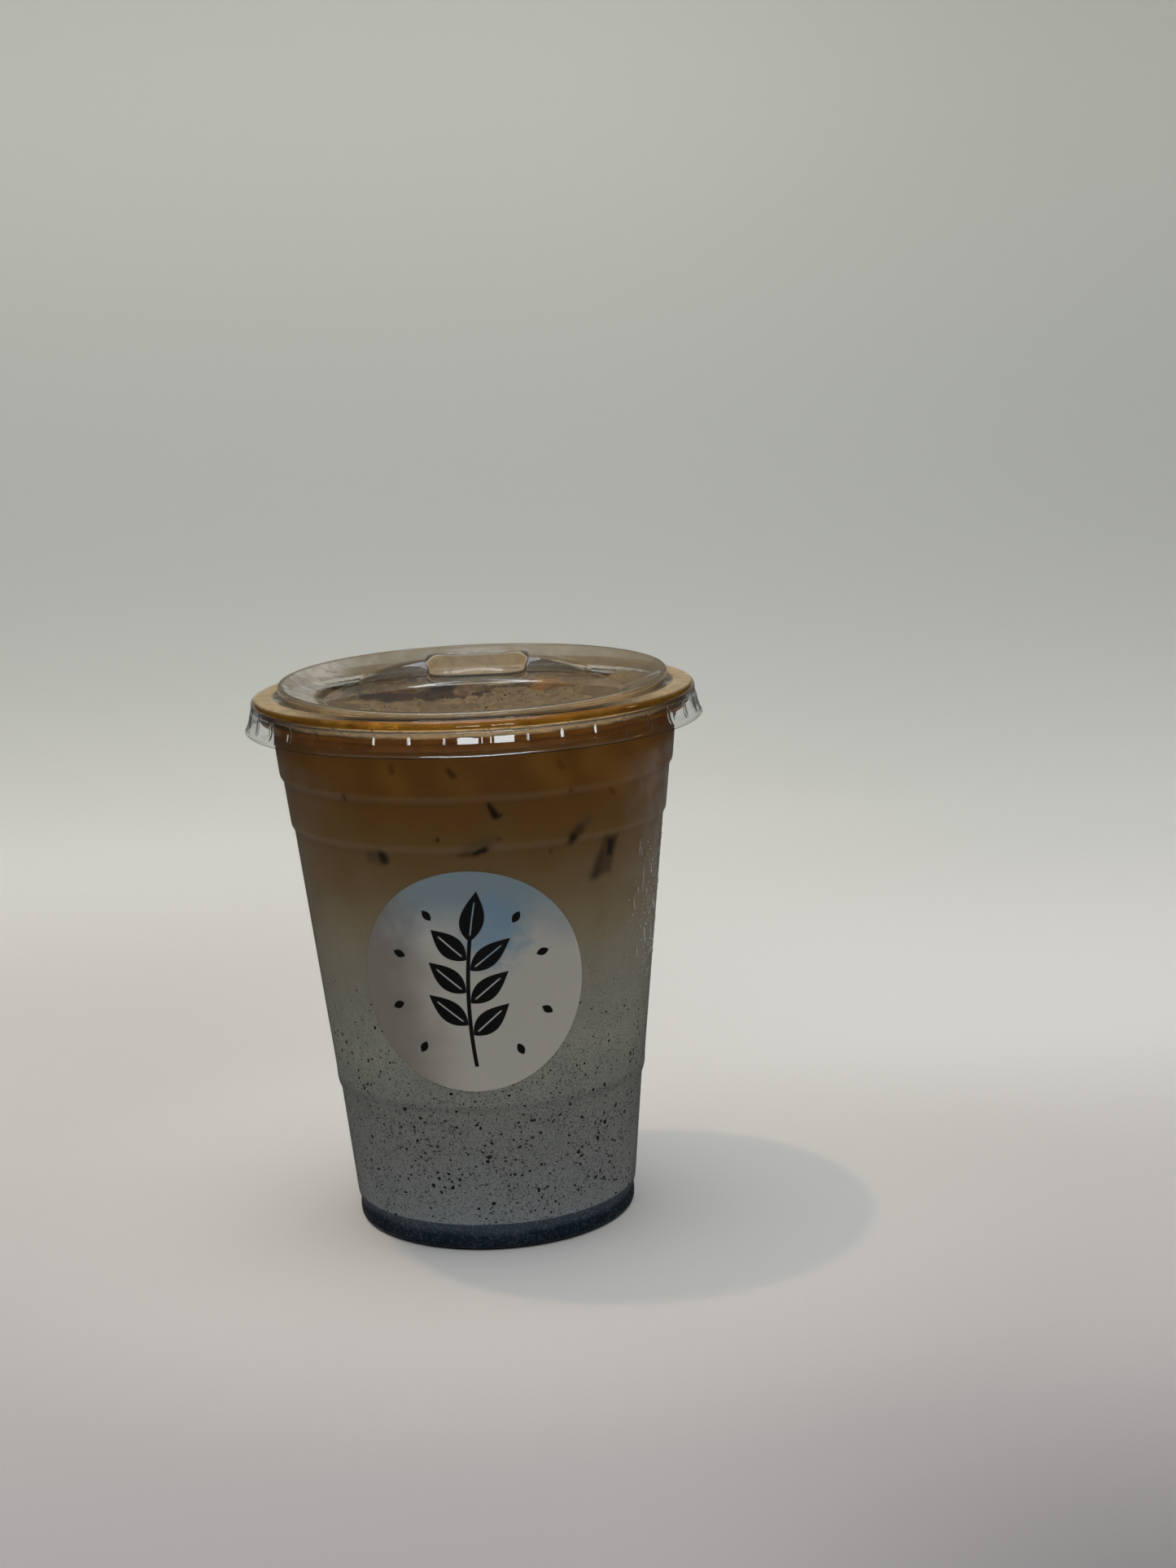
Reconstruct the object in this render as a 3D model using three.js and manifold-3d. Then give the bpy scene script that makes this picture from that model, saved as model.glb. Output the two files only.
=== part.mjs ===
// Iced coffee over black sesame milk, in a clear lidded takeaway cup.
// Millimetres, +Z up. The origin is the centre of the foot ring, on the surface the cup stands on.
// The front, with the sticker, faces -Y. The mouthpiece of the lid is at the back, towards +Y.

import * as THREE from 'three';
import { mergeVertices } from 'three/addons/utils/BufferGeometryUtils.js';
import Module from 'manifold-3d';

const wasm = await Module();
wasm.setup();

// Driving dimensions
const gap = 0.3; // between neighbouring pieces
const cupSegments = 44;
const drinkSegments = 36;
const flutes = 40; // ribs round the skirt of the lid
const lidSegments = 2 * flutes;
const toolBottom = 119; // cutting tools for the lid reach from below the well
const toolTop = 130; // to above everything

const cup = {
  wall: 0.6,
  floor: 0.7,
  footInner: 29.6, // inner edge of the flat ring the cup stands on
  pushUp: 3.0, // height of the raised floor at the middle
  rimCentre: [47.6, 119.5], // rolled rim, 98 mm across outside
  rimRadius: 1.45,
  wallTop: 117.6, // where the wall meets the rolled rim
  rimInside: 46.19, // radius of the wall a little above that
};

// Small steps of the wall, each from and to [radius, height]
const steps = [
  [[35.26, 31.6], [36.16, 36.6]],
  [[42.37, 93.4], [43.2, 96.0]],
  [[44.2, 104.7], [45.12, 107.4]],
];

// Outside of the wall as [radius, height]: a foot with a neck above it, then the steps
const wallOutline = [
  [31.6, 0],
  [32.3, 0.7],
  [32.4, 2.6],
  [32.0, 4.3],
  [32.75, 5.6],
  [33.0, 8.0],
  ...steps.flatMap(([low, high]) => [low, knee(low, high), high]),
  [46.15, cup.wallTop],
];

const lid = {
  wall: 0.5,
  turn: THREE.MathUtils.degToRad(-2), // the mouthpiece sits a little to the right of +Y
  rise: 1.2, // how much higher the mouthpiece side of the raised ring is than its middle
  innerLine: 41.5,
  ringHeight: 125.3,
  panelRadius: 34,
  panelHeight: 122,
  fluteDepth: 0.45,
  facetHalfAngle: THREE.MathUtils.degToRad(53), // the facet round the mouthpiece, either side of +Y
  facetStep: 0.8,
};

const mouthpiece = {
  nearEdge: 25.2, // distance from the cup's axis
  farEdge: 38.8,
  nearHalfWidth: 10.9,
  farHalfWidth: 12.1,
  corner: 2.4,
  floorTop: 120.6,
  slotLength: 17,
  slotWidth: 7.5,
};

const level = {
  sedimentTop: 6.4,
  milkTop: 70,
  coffeeTop: 117.0,
  foamTop: 118.1,
};

const foamRelief = 0.28;
const foamRings = [36, 25, 13]; // radii of its inner rings of points
const iceSkin = 1.5; // thickness of drink left between the ice and the wall
const rimCoffee = { inner: 46.9, outer: 49.6, bottom: 121.3, top: 122.75 };
const sticker = { radius: 25.4, thickness: 0.3, height: 64.2, turn: THREE.MathUtils.degToRad(-5.2) };

// Ice that shows above the foam: centre, size, and turns about X, Y and Z in degrees
const icePieces = [
  { name: 'ice_back_left', centre: [-19, 31, 110.6], size: [19, 14, 17], turn: [12, -8, 24] },
  { name: 'ice_back_middle', centre: [0, 22, 110.2], size: [15, 17, 16], turn: [20, 14, -18] },
  { name: 'ice_back_right', centre: [19, 27.5, 110.8], size: [16, 15, 16], turn: [-10, 16, 12] },
  { name: 'ice_right', centre: [34.2, 9, 115], size: [14, 15, 15], turn: [8, -16, 30] },
  { name: 'ice_left', centre: [-33, 6, 111], size: [15, 16, 16], turn: [-12, 10, 38] },
  { name: 'ice_front', centre: [-4, -6, 110.4], size: [18, 16, 16.5], turn: [10, 9, 8] },
];

// The knee of a step: it kinks out at the bottom and rounds over into the stretch above
function knee(low, high) {
  return [THREE.MathUtils.lerp(low[0], high[0], 0.8), THREE.MathUtils.lerp(low[1], high[1], 0.35)];
}

// The inside of the wall and the drink leave out the knees of the steps
const kneeHeights = steps.map(([low, high]) => knee(low, high)[1]);

// Radius of the outside of the wall at a height
function wallRadius(height) {
  const next = Math.max(1, wallOutline.findIndex(([, z]) => z >= height));
  const [r0, z0] = wallOutline[next - 1];
  const [r1, z1] = wallOutline[next];
  return THREE.MathUtils.mapLinear(height, z0, z1, r0, r1);
}

// The stretch of wall between two heights, going up, moved in by an inset
function wallBetween(low, high, inset) {
  const between = wallOutline.filter(([, z]) => z > low + 0.2 && z < high - 0.2);
  const radiusAt = (z) => (z > cup.wallTop ? cup.rimInside : wallRadius(z));
  const ends = [low, high].map((z) => [radiusAt(z), z]);
  return [ends[0], ...between, ends[1]].map(([r, z]) => [r - inset, z]);
}

// Closed solid from any geometry whose surface is closed once equal points are joined
function toSolid(geometry) {
  const bare = geometry.clone();
  bare.deleteAttribute('normal');
  bare.deleteAttribute('uv');
  const merged = mergeVertices(bare, 1e-4);
  const triVerts = [];
  const index = merged.index.array;
  for (let i = 0; i < index.length; i += 3) {
    const [a, b, c] = [index[i], index[i + 1], index[i + 2]];
    if (a !== b && b !== c && c !== a) triVerts.push(a, b, c);
  }
  return new wasm.Manifold(new wasm.Mesh({
    numProp: 3,
    vertProperties: new Float32Array(merged.attributes.position.array),
    triVerts: new Uint32Array(triVerts),
  }));
}

function toGeometry(solid) {
  const { vertProperties, triVerts } = solid.getMesh();
  const geometry = new THREE.BufferGeometry();
  geometry.setAttribute('position', new THREE.BufferAttribute(vertProperties, 3));
  geometry.setIndex(new THREE.BufferAttribute(triVerts, 1));
  geometry.computeVertexNormals();
  return geometry;
}

// A turned solid whose section may change with the angle. sectionAt gives [radius, height] points
// that start and end on the axis or close on themselves, always the same number of them.
function turned(sectionAt, segments) {
  const first = sectionAt(0);
  const geometry = new THREE.LatheGeometry(first.map(([r, z]) => new THREE.Vector2(r, z)), segments);
  const position = geometry.attributes.position;
  for (let i = 0; i < position.count; i++) {
    const angle = (Math.floor(i / first.length) % segments) * 2 * Math.PI / segments;
    const [radius, height] = sectionAt(angle)[i % first.length];
    position.setXYZ(i, radius * Math.cos(angle), radius * Math.sin(angle), height);
  }
  return toSolid(geometry);
}

// Line of points moved sideways by a distance, to the right of its direction, with mitred corners
function offsetLine(points, distance) {
  return points.map(([x, y], i) => {
    const before = points[Math.max(i - 1, 0)];
    const after = points[Math.min(i + 1, points.length - 1)];
    const sides = [[before, [x, y]], [[x, y], after]]
      .map(([from, to]) => new THREE.Vector2(to[1] - from[1], from[0] - to[0]))
      .filter((side) => side.length() > 0)
      .map((side) => side.normalize());
    const normal = sides.reduce((sum, side) => sum.add(side), new THREE.Vector2()).normalize();
    const reach = distance / normal.dot(sides[sides.length - 1]);
    return [x + normal.x * reach, y + normal.y * reach];
  });
}

function largestPiece(solid) {
  return solid.decompose().reduce((best, piece) => (piece.volume() > best.volume() ? piece : best));
}

// Cup: one thin wall with a raised floor, a foot ring, three steps and a rolled rim
function makeCup() {
  const { wall, floor, footInner, pushUp, rimCentre, rimRadius } = cup;
  const rollFrom = -100;
  const rollTo = 180;
  const rollSteps = 5;
  const roll = Array.from({ length: rollSteps + 1 }, (_, i) => {
    const angle = THREE.MathUtils.degToRad(THREE.MathUtils.lerp(rollFrom, rollTo, i / rollSteps));
    return [rimCentre[0] + rimRadius * Math.cos(angle), rimCentre[1] + rimRadius * Math.sin(angle)];
  });
  const inside = wallBetween(1.2, 118, wall).filter(([, z]) => !kneeHeights.includes(z)).reverse();
  const section = [
    [0, pushUp],
    [footInner - 1.1, 1.8],
    [footInner, 0],
    ...wallOutline,
    ...roll,
    ...inside,
    [31.2, floor],
    [30.1, floor],
    [29.1, 1.8 + floor],
    [0, pushUp + floor],
  ];
  return turned(() => section, cupSegments);
}

// How far into the mouthpiece facet an angle lies: 1 at the back, 0 at and past the facet's ends
function facetShare(angle) {
  const away = Math.abs(Math.atan2(Math.sin(angle - Math.PI / 2), Math.cos(angle - Math.PI / 2)));
  return Math.max(0, 1 - (away / lid.facetHalfAngle) ** 2);
}

// Top side of the lid at an angle, from the axis out to the lip of the skirt, as [radius, height]
function lidTop(angle) {
  const { innerLine, ringHeight, panelRadius, panelHeight, rise, fluteDepth, facetStep } = lid;
  const share = facetShare(angle);
  const edge = THREE.MathUtils.lerp(panelRadius, innerLine - 1, share);
  const edgeHeight = THREE.MathUtils.mapLinear(edge, panelRadius, innerLine, panelHeight, ringHeight);
  const step = facetStep * Math.min(1, 3 * share);
  const flute = fluteDepth * (1 - Math.cos(flutes * angle)) / 2;
  const lift = (radius) => rise * radius / 44 * Math.sin(angle);
  const ring = [
    [panelRadius, panelHeight],
    [edge - 0.5 * step + 0.5, edgeHeight - step + 0.2],
    [edge + 0.8, edgeHeight + 0.3],
    [innerLine, ringHeight],
    [43.4, 126.3],
    [44.2, 126.1],
    [44.45, 125.3],
    [43.4, 122.8],
  ];
  const rim = [
    [46.5, 123.75],
    [49.5, 123.6],
    [50.45, 122.6],
    [50.45, 120.9],
    [50.75 - flute, 120.3],
    [51.15 - flute, 118.4],
    [51.6, 117.0],
    [51.9, 116.0],
  ];
  const raised = ring.map(([r, z], i) => [r, z + (i > 0 && i < 7 ? lift(r) : 0)]);
  return [[0, panelHeight], ...raised, ...rim];
}

// Solid between the lid's top side moved down by two distances
function lidShell(under) {
  return turned((angle) => {
    const top = lidTop(angle);
    return [...offsetLine(top, under), ...top.slice().reverse()];
  }, lidSegments);
}

// Everything below the lid's top side moved down by a distance, out to a radius and down to a height
function spaceUnderLid(under, radius, bottom) {
  return turned((angle) => {
    const top = offsetLine(lidTop(angle), under).filter(([r]) => r < radius).reverse();
    return [[0, bottom], [radius, bottom], [radius, top[0][1]], ...top];
  }, lidSegments);
}

// Plan outline of the mouthpiece's well, drawn smaller by an inset: a rounded trapezoid
function wellShape(inset) {
  const { nearEdge, farEdge, nearHalfWidth, farHalfWidth, corner } = mouthpiece;
  const [near, far] = [nearEdge + inset, farEdge - inset];
  const [nearX, farX] = [nearHalfWidth - inset, farHalfWidth - inset];
  const round = corner - inset / 2;
  const shape = new THREE.Shape();
  shape.moveTo(-nearX + round, near);
  shape.lineTo(nearX - round, near);
  shape.quadraticCurveTo(nearX, near, nearX + 0.2, near + round);
  shape.lineTo(farX - 0.2, far - round);
  shape.quadraticCurveTo(farX, far, farX - round, far);
  shape.lineTo(-farX + round, far);
  shape.quadraticCurveTo(-farX, far, -farX + 0.2, far - round);
  shape.lineTo(-nearX - 0.2, near + round);
  shape.quadraticCurveTo(-nearX, near, -nearX + round, near);
  return shape;
}

function slotShape() {
  const { slotLength, slotWidth, nearEdge, farEdge } = mouthpiece;
  const half = (slotLength - slotWidth) / 2;
  const middle = (nearEdge + farEdge) / 2;
  const shape = new THREE.Shape();
  shape.absarc(half, middle, slotWidth / 2, -Math.PI / 2, Math.PI / 2);
  shape.absarc(-half, middle, slotWidth / 2, Math.PI / 2, 3 * Math.PI / 2);
  return shape;
}

function upright(shape, bottom, top, curveSegments = 3) {
  const depth = top - bottom;
  const geometry = new THREE.ExtrudeGeometry(shape, { depth, bevelEnabled: false, curveSegments });
  geometry.translate(0, 0, bottom);
  return toSolid(geometry);
}

// Lid: fluted skirt, ring over the rim, raised ring, sunken panel, and a mouthpiece well with its slot
function makeLid() {
  const { wall } = lid;
  const { floorTop } = mouthpiece;
  const well = upright(wellShape(0), floorTop - wall, toolTop)
    .subtract(upright(wellShape(wall), floorTop, toolTop + 1))
    .intersect(spaceUnderLid(0, 42, toolBottom));
  return lidShell(wall)
    .subtract(upright(wellShape(wall / 2), toolBottom, toolTop))
    .add(well)
    .subtract(upright(slotShape(), toolBottom, floorTop + 0.2, 5));
}

// A layer of the drink between two heights, as wide as the inside of the cup less the gap
function makeLayer(low, high) {
  const side = wallBetween(low, high, cup.wall + gap + 0.1).filter(([, z]) => !kneeHeights.includes(z));
  return turned(() => [[0, low], ...side, [0, high]], drinkSegments);
}

// Dark sesame paste that has sunk to the floor and into the foot
function makeSediment() {
  const side = wallBetween(1.6, level.sedimentTop, cup.wall + gap + 0.1);
  const section = [[0, 4.1], [29.3, 2.95], [30.1, 1.6], ...side, [0, level.sedimentTop]];
  return turned(() => section, drinkSegments);
}

// Froth with an uneven top: three crossing waves give its low humps
function makeFoam() {
  const bottom = level.coffeeTop + gap;
  const edge = wallRadius(cup.wallTop) - cup.wall - gap - 0.1;
  const rings = [edge, ...foamRings];
  const hump = (r, angle) => {
    const [x, y] = [r * Math.cos(angle), r * Math.sin(angle)];
    return foamRelief * (Math.sin(x / 4.1 + 1) + Math.sin(y / 3.3 + x / 9) + Math.sin((x - y) / 5.7)) / 3;
  };
  return turned((angle) => {
    const top = rings.map((r) => [r, level.foamTop + hump(r, angle)]);
    return [[0, bottom], [edge, bottom], ...top, [0, level.foamTop + hump(0, 0)]];
  }, drinkSegments);
}

// Coffee caught between the rolled rim and the ring of the lid
function makeRimCoffee() {
  const { inner, outer, bottom, top } = rimCoffee;
  const edge = 0.3;
  const section = [
    [inner, bottom + edge],
    [inner + edge, bottom],
    [outer, bottom],
    [outer, top - edge],
    [outer - edge, top],
    [inner, top],
    [inner, bottom + edge],
  ];
  return turned(() => section, drinkSegments);
}

// One ice piece: a box with rounded edges, as a sphere pushed out towards its box by a power
function makeIce({ centre, size, turn }, grow = 0) {
  const power = 0.42;
  const geometry = new THREE.SphereGeometry(1, 10, 6);
  const position = geometry.attributes.position;
  const point = new THREE.Vector3();
  for (let i = 0; i < position.count; i++) {
    point.fromBufferAttribute(position, i);
    const out = point.toArray().map((v) => (Math.abs(v) < 1e-6 ? 0 : Math.sign(v) * Math.abs(v) ** power));
    position.setXYZ(i, ...out.map((v, axis) => v * (size[axis] / 2 + grow)));
  }
  const [x, y, z] = turn.map(THREE.MathUtils.degToRad);
  const place = new THREE.Matrix4().makeRotationFromEuler(new THREE.Euler(x, y, z));
  place.setPosition(...centre);
  geometry.applyMatrix4(place);
  return toSolid(geometry);
}

// Round sticker: a thin disc bent round the cone of the wall
function makeSticker() {
  const { radius, thickness, height, turn } = sticker;
  const rings = 3;
  const across = Array.from({ length: rings + 1 }, (_, i) => radius * i / rings);
  const section = [...across.map((r) => [r, 0]), ...across.reverse().map((r) => [r, thickness])];
  const segments = 32;
  const geometry = new THREE.LatheGeometry(section.map(([r, z]) => new THREE.Vector2(r, z)), segments);
  const position = geometry.attributes.position;
  for (let i = 0; i < position.count; i++) {
    const [across1, up, out] = [position.getX(i), -position.getZ(i), position.getY(i)];
    const distance = wallRadius(height + up) + gap + 0.05 + out;
    const around = across1 / distance + turn;
    position.setXYZ(i, distance * Math.sin(around), -distance * Math.cos(around), height + up);
  }
  return toSolid(geometry);
}

const clear = { roughness: 0.05, metalness: 0, transparent: true, opacity: 0.3 };

function addPiece(group, name, solid, look) {
  const mesh = new THREE.Mesh(toGeometry(solid), new THREE.MeshStandardMaterial(look));
  mesh.name = name;
  group.add(mesh);
  return mesh;
}

// The space that ice may take: inside the wall, with a skin of drink left on it, and clear of the lid
function makeIceSpace(skin) {
  const inset = cup.wall + gap + skin;
  const bottom = 80;
  const side = wallBetween(bottom, cup.wallTop, inset);
  const above = [[side.at(-1)[0], toolTop], [0, toolTop]];
  const insideWall = turned(() => [[0, bottom], ...side, ...above], drinkSegments);
  return spaceUnderLid(lid.wall + gap, 44.6, bottom - 20)
    .intersect(insideWall)
    .subtract(upright(wellShape(-gap), mouthpiece.floorTop - lid.wall - gap, toolTop));
}

const group = new THREE.Group();
const iceSpace = makeIceSpace(iceSkin);
const ice = icePieces.map((piece) => makeIce(piece).intersect(iceSpace));
const iceRoom = icePieces.map((piece) => makeIce(piece, gap)).reduce((sum, piece) => sum.add(piece));

addPiece(group, 'cup', makeCup(), { color: 0xe8eceb, ...clear });
addPiece(group, 'lid', makeLid(), { color: 0xe8eceb, ...clear }).rotation.z = lid.turn;
addPiece(group, 'label', makeSticker(), { color: 0xd6d6d2, roughness: 0.35, metalness: 0.1 });
addPiece(group, 'sesame_sediment', makeSediment(), { color: 0x1b2130, roughness: 0.4, metalness: 0 });
addPiece(group, 'sesame_milk', makeLayer(level.sedimentTop + gap, level.milkTop), {
  color: 0x86888a,
  roughness: 0.45,
  metalness: 0,
});
const coffee = makeLayer(level.milkTop + gap, level.coffeeTop).subtract(iceRoom);
addPiece(group, 'coffee', largestPiece(coffee), { color: 0x5a3f28, roughness: 0.4, metalness: 0 });
addPiece(group, 'foam', largestPiece(makeFoam().subtract(iceRoom)), {
  color: 0x9a8f76,
  roughness: 0.8,
  metalness: 0,
});
addPiece(group, 'rim_coffee', makeRimCoffee(), { color: 0x8a5a1c, roughness: 0.2, metalness: 0 });
icePieces.forEach((piece, i) => {
  addPiece(group, piece.name, ice[i], { color: 0xa9977c, roughness: 0.15, metalness: 0 });
});

export default group;
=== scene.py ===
import math

import bmesh
import bpy
import numpy as np
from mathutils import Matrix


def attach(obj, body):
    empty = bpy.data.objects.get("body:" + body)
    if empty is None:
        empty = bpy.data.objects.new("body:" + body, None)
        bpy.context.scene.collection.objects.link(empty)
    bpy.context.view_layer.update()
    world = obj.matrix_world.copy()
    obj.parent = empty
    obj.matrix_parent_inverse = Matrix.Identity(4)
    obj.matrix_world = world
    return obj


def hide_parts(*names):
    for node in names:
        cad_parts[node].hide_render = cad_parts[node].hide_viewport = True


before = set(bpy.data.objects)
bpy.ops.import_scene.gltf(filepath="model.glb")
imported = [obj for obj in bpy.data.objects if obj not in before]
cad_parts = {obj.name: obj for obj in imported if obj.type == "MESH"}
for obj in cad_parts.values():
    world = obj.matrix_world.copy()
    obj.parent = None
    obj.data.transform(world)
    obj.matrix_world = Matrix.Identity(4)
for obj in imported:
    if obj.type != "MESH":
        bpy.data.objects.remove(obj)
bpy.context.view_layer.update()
print("frame loaded with", len(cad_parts), "nodes")

# Lengths are millimetres until a mesh is written. A turn is the angle round the cup from its front (-Y)
# towards +X, so a point at a radius and turn is (radius sin turn, -radius cos turn).
mm = 0.001


class Wire:
    # A socket in a formula: each operator adds one Math node, so 1 - mask * 0.5 is written as it reads

    def __init__(self, socket):
        self.socket = socket

    def math(self, operation, *values):
        node = self.socket.id_data.nodes.new("ShaderNodeMath")
        node.operation = operation
        for place, value in zip(node.inputs, values):
            feed(place, value)
        return Wire(node.outputs[0])

    def __add__(self, other):
        return self.math("ADD", self, other)

    def __sub__(self, other):
        return self.math("SUBTRACT", self, other)

    def __rsub__(self, other):
        return self.math("SUBTRACT", other, self)

    def __mul__(self, other):
        return self.math("MULTIPLY", self, other)

    def __truediv__(self, other):
        return self.math("DIVIDE", self, other)

    def __pow__(self, other):
        return self.math("POWER", self, other)

    __radd__ = __add__
    __rmul__ = __mul__

    def most(self, other):
        return self.math("MAXIMUM", self, other)

    def least(self, other):
        return self.math("MINIMUM", self, other)

    def size(self):
        return self.math("ABSOLUTE", self)

    def root(self):
        return self.math("SQRT", self)

    def between(self, low, high):  # 0 below low, 1 above high, smooth in between
        node = self.socket.id_data.nodes.new("ShaderNodeMapRange")
        node.interpolation_type = "SMOOTHSTEP"
        for place, value in zip(node.inputs, (self, low, high, 0.0, 1.0)):
            feed(place, value)
        return Wire(node.outputs[0])


# Gives an input a value, or a link when the value is a wire; a colour of three gets its alpha
def feed(place, value):
    if isinstance(value, Wire):
        place.id_data.links.new(value.socket, place)
    elif place.type == "RGBA":
        place.default_value = (*value[:3], 1.0)
    else:
        place.default_value = value


class Finish:
    # One material or world. add() makes a node of any type: its settings first, then values or wires by input

    def __init__(self, name, place="Object", kind="materials"):
        self.owner = getattr(bpy.data, kind).new(name)
        self.owner.use_nodes = True
        self.tree = self.owner.node_tree
        self.tree.nodes.clear()
        self.place = self.add("TexCoord", out=place)

    def add(self, kind, settings=None, inputs=None, out=0):
        node = self.tree.nodes.new("ShaderNode" + kind)
        for name, value in (settings or {}).items():
            if name == "stops":
                setStops(node.color_ramp, value)
            else:
                setattr(node, name, value)
        for name, value in (inputs or {}).items():
            feed(node.inputs[name], value)
        return Wire(node.outputs[out]) if node.outputs else None

    def axes(self, place=None):
        split = self.add("SeparateXYZ", None, {0: place or self.place}).socket.node
        return [Wire(end) for end in split.outputs]

    def attribute(self, name):
        return self.add("Attribute", {"attribute_name": name}, None, "Fac")

    # Noise with lumps about `lump` millimetres across
    def noise(self, lump, detail=2.0, distort=0.0, place=None):
        inputs = {"Vector": place or self.place, "Scale": 1 / (lump * mm)}
        inputs.update({"Detail": detail, "Roughness": 0.55, "Distortion": distort})
        return self.add("TexNoise", None, inputs)

    # Distance to the nearest of scattered points about `cell` millimetres apart, 0 at a point
    def cells(self, cell, place=None, feature="F1"):
        inputs = {"Vector": place or self.place, "Scale": 1 / (cell * mm)}
        return self.add("TexVoronoi", {"feature": feature}, inputs, "Distance")

    def mix(self, share, colour, other, how="MIX"):
        settings = {"data_type": "RGBA", "blend_type": how}
        return self.add("Mix", settings, {0: share, 6: colour, 7: other}, 2)

    def ramp(self, value, stops):
        return self.add("ValToRGB", {"stops": stops}, {0: value})

    def bump(self, height, depth, strength=1.0):  # depth in millimetres
        return self.add("Bump", None, {"Height": height, "Distance": depth * mm, "Strength": strength})

    def surface(self, inputs):
        return self.add("BsdfPrincipled", None, inputs)

    # Clear plastic or liquid that lamps shine through: shadow rays see a tinted transparent surface
    def clear(self, inputs, shade):
        through = self.add("BsdfTransparent", None, {"Color": shade})
        shadow = self.add("LightPath", out="Is Shadow Ray")
        return self.add("MixShader", None, {0: shadow, 1: self.surface(inputs), 2: through})

    def done(self, shader, output="OutputMaterial"):
        self.add(output, None, {"Surface": shader})
        return self.owner


def setStops(ramp, stops):
    while len(ramp.elements) > 1:
        ramp.elements.remove(ramp.elements[-1])
    for index, (position, colour) in enumerate(stops):
        element = ramp.elements[0] if index == 0 else ramp.elements.new(position)
        element.position = position
        element.color = (*colour, 1.0)


# A piece from points in millimetres and faces: equal points are joined, faces turned outwards, smooth
# shading with edges sharper than `sharp` degrees kept hard
def makePiece(name, points, faces, material=None, sharp=40.0):
    mesh = bpy.data.meshes.new(name)
    mesh.from_pydata((points * mm).tolist(), [], faces.tolist())
    shell = bmesh.new()
    shell.from_mesh(mesh)
    bmesh.ops.remove_doubles(shell, verts=shell.verts, dist=1e-7)
    bmesh.ops.recalc_face_normals(shell, faces=shell.faces)
    shell.to_mesh(mesh)
    shell.free()
    piece = bpy.data.objects.new(name, mesh)
    bpy.context.scene.collection.objects.link(piece)
    if material:
        mesh.materials.append(material)
    shadeSmooth(mesh, sharp)
    return piece


def shadeSmooth(mesh, sharp):
    mesh.polygons.foreach_set("use_smooth", np.ones(len(mesh.polygons), bool))
    mesh.set_sharp_from_angle(angle=math.radians(sharp))
    mesh.update()


# Says what a piece stands for: hides the CAD nodes it replaces and hangs it under the root body; `slot` is
# not used
def dress(piece, slot, *nodes):
    if nodes:
        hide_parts(*nodes)
    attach(piece, "root")
    print("made", piece.name, "with", len(piece.data.polygons), "faces")


# Faces of a grid of rows by columns: corner (i, j) to (i, j+1), (i+1, j+1), (i+1, j), wrapping where asked
def gridFaces(rows, columns, wrapRows=False, wrapColumns=False):
    i = np.arange(rows if wrapRows else rows - 1)[:, None]
    j = np.arange(columns if wrapColumns else columns - 1)[None, :]
    nextI = (i + 1) % rows
    nextJ = (j + 1) % columns
    corners = [i * columns + j, i * columns + nextJ, nextI * columns + nextJ, nextI * columns + j]
    return np.stack(np.broadcast_arrays(*corners), axis=-1).reshape(-1, 4)


# A turned surface: section[a, n] = (radius, height) at turn[a], point = (radius sin, -radius cos, height)
def turned(section, turns):
    section = np.broadcast_to(section, (len(turns), *section.shape[-2:]))
    radius = section[..., 0]
    around = turns[:, None]
    x = radius * np.sin(around)
    y = -radius * np.cos(around)
    return np.stack([x, y, section[..., 1]], axis=-1).reshape(-1, 3)


# Corners rounded off: each becomes (1-t)^2 a + 2t(1-t) corner + t^2 b for t from 0 to 1, where a and b lie
# `cut` before and after it, at most 0.45 of the way to its neighbours
def roundCorners(points, cut, samples=5):
    corner = points[..., 1:-1, :]
    before = points[..., :-2, :] - corner
    after = points[..., 2:, :] - corner
    cut = np.asarray(cut)[:, None]
    start = corner + before * np.minimum(cut / np.linalg.norm(before, axis=-1, keepdims=True), 0.45)
    end = corner + after * np.minimum(cut / np.linalg.norm(after, axis=-1, keepdims=True), 0.45)
    t = np.linspace(0, 1, samples)[:, None]
    curve = (1 - t) ** 2 * start[..., None, :] + t**2 * end[..., None, :]
    curve = curve + 2 * t * (1 - t) * corner[..., None, :]
    curve = curve.reshape(*points.shape[:-2], -1, 2)
    return np.concatenate([points[..., :1, :], curve, points[..., -1:, :]], axis=-2)


# A line moved sideways, to the right of its direction: point + distance * (dz, -dr) / length
def moveSideways(line, distance):
    along = np.gradient(line, axis=-2)
    side = np.stack([along[..., 1], -along[..., 0]], axis=-1)
    return line + distance * side / np.linalg.norm(side, axis=-1, keepdims=True)


# Closed section of a sheet: a line out, and back along the same line moved sideways by its thickness
def sheetSection(line, thickness):
    return np.concatenate([line, moveSideways(line, thickness)[..., ::-1, :]], axis=-2)


def smooth(value, low, high):  # 3t^2 - 2t^3, with t from 0 at low to 1 at high
    t = np.clip((value - low) / (high - low), 0, 1)
    return t * t * (3 - 2 * t)


# Camera of the photograph, fitted to the outlines of the cup

camera = {
    "position": (0.0, -532.7, 200.2),
    "yaw": 2.72,
    "pitch": 10.71,
    "roll": -2.34,
    "focalPixels": 2894,
    "imageHeight": 1927,
    "sensor": 36.0,
}


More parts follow.
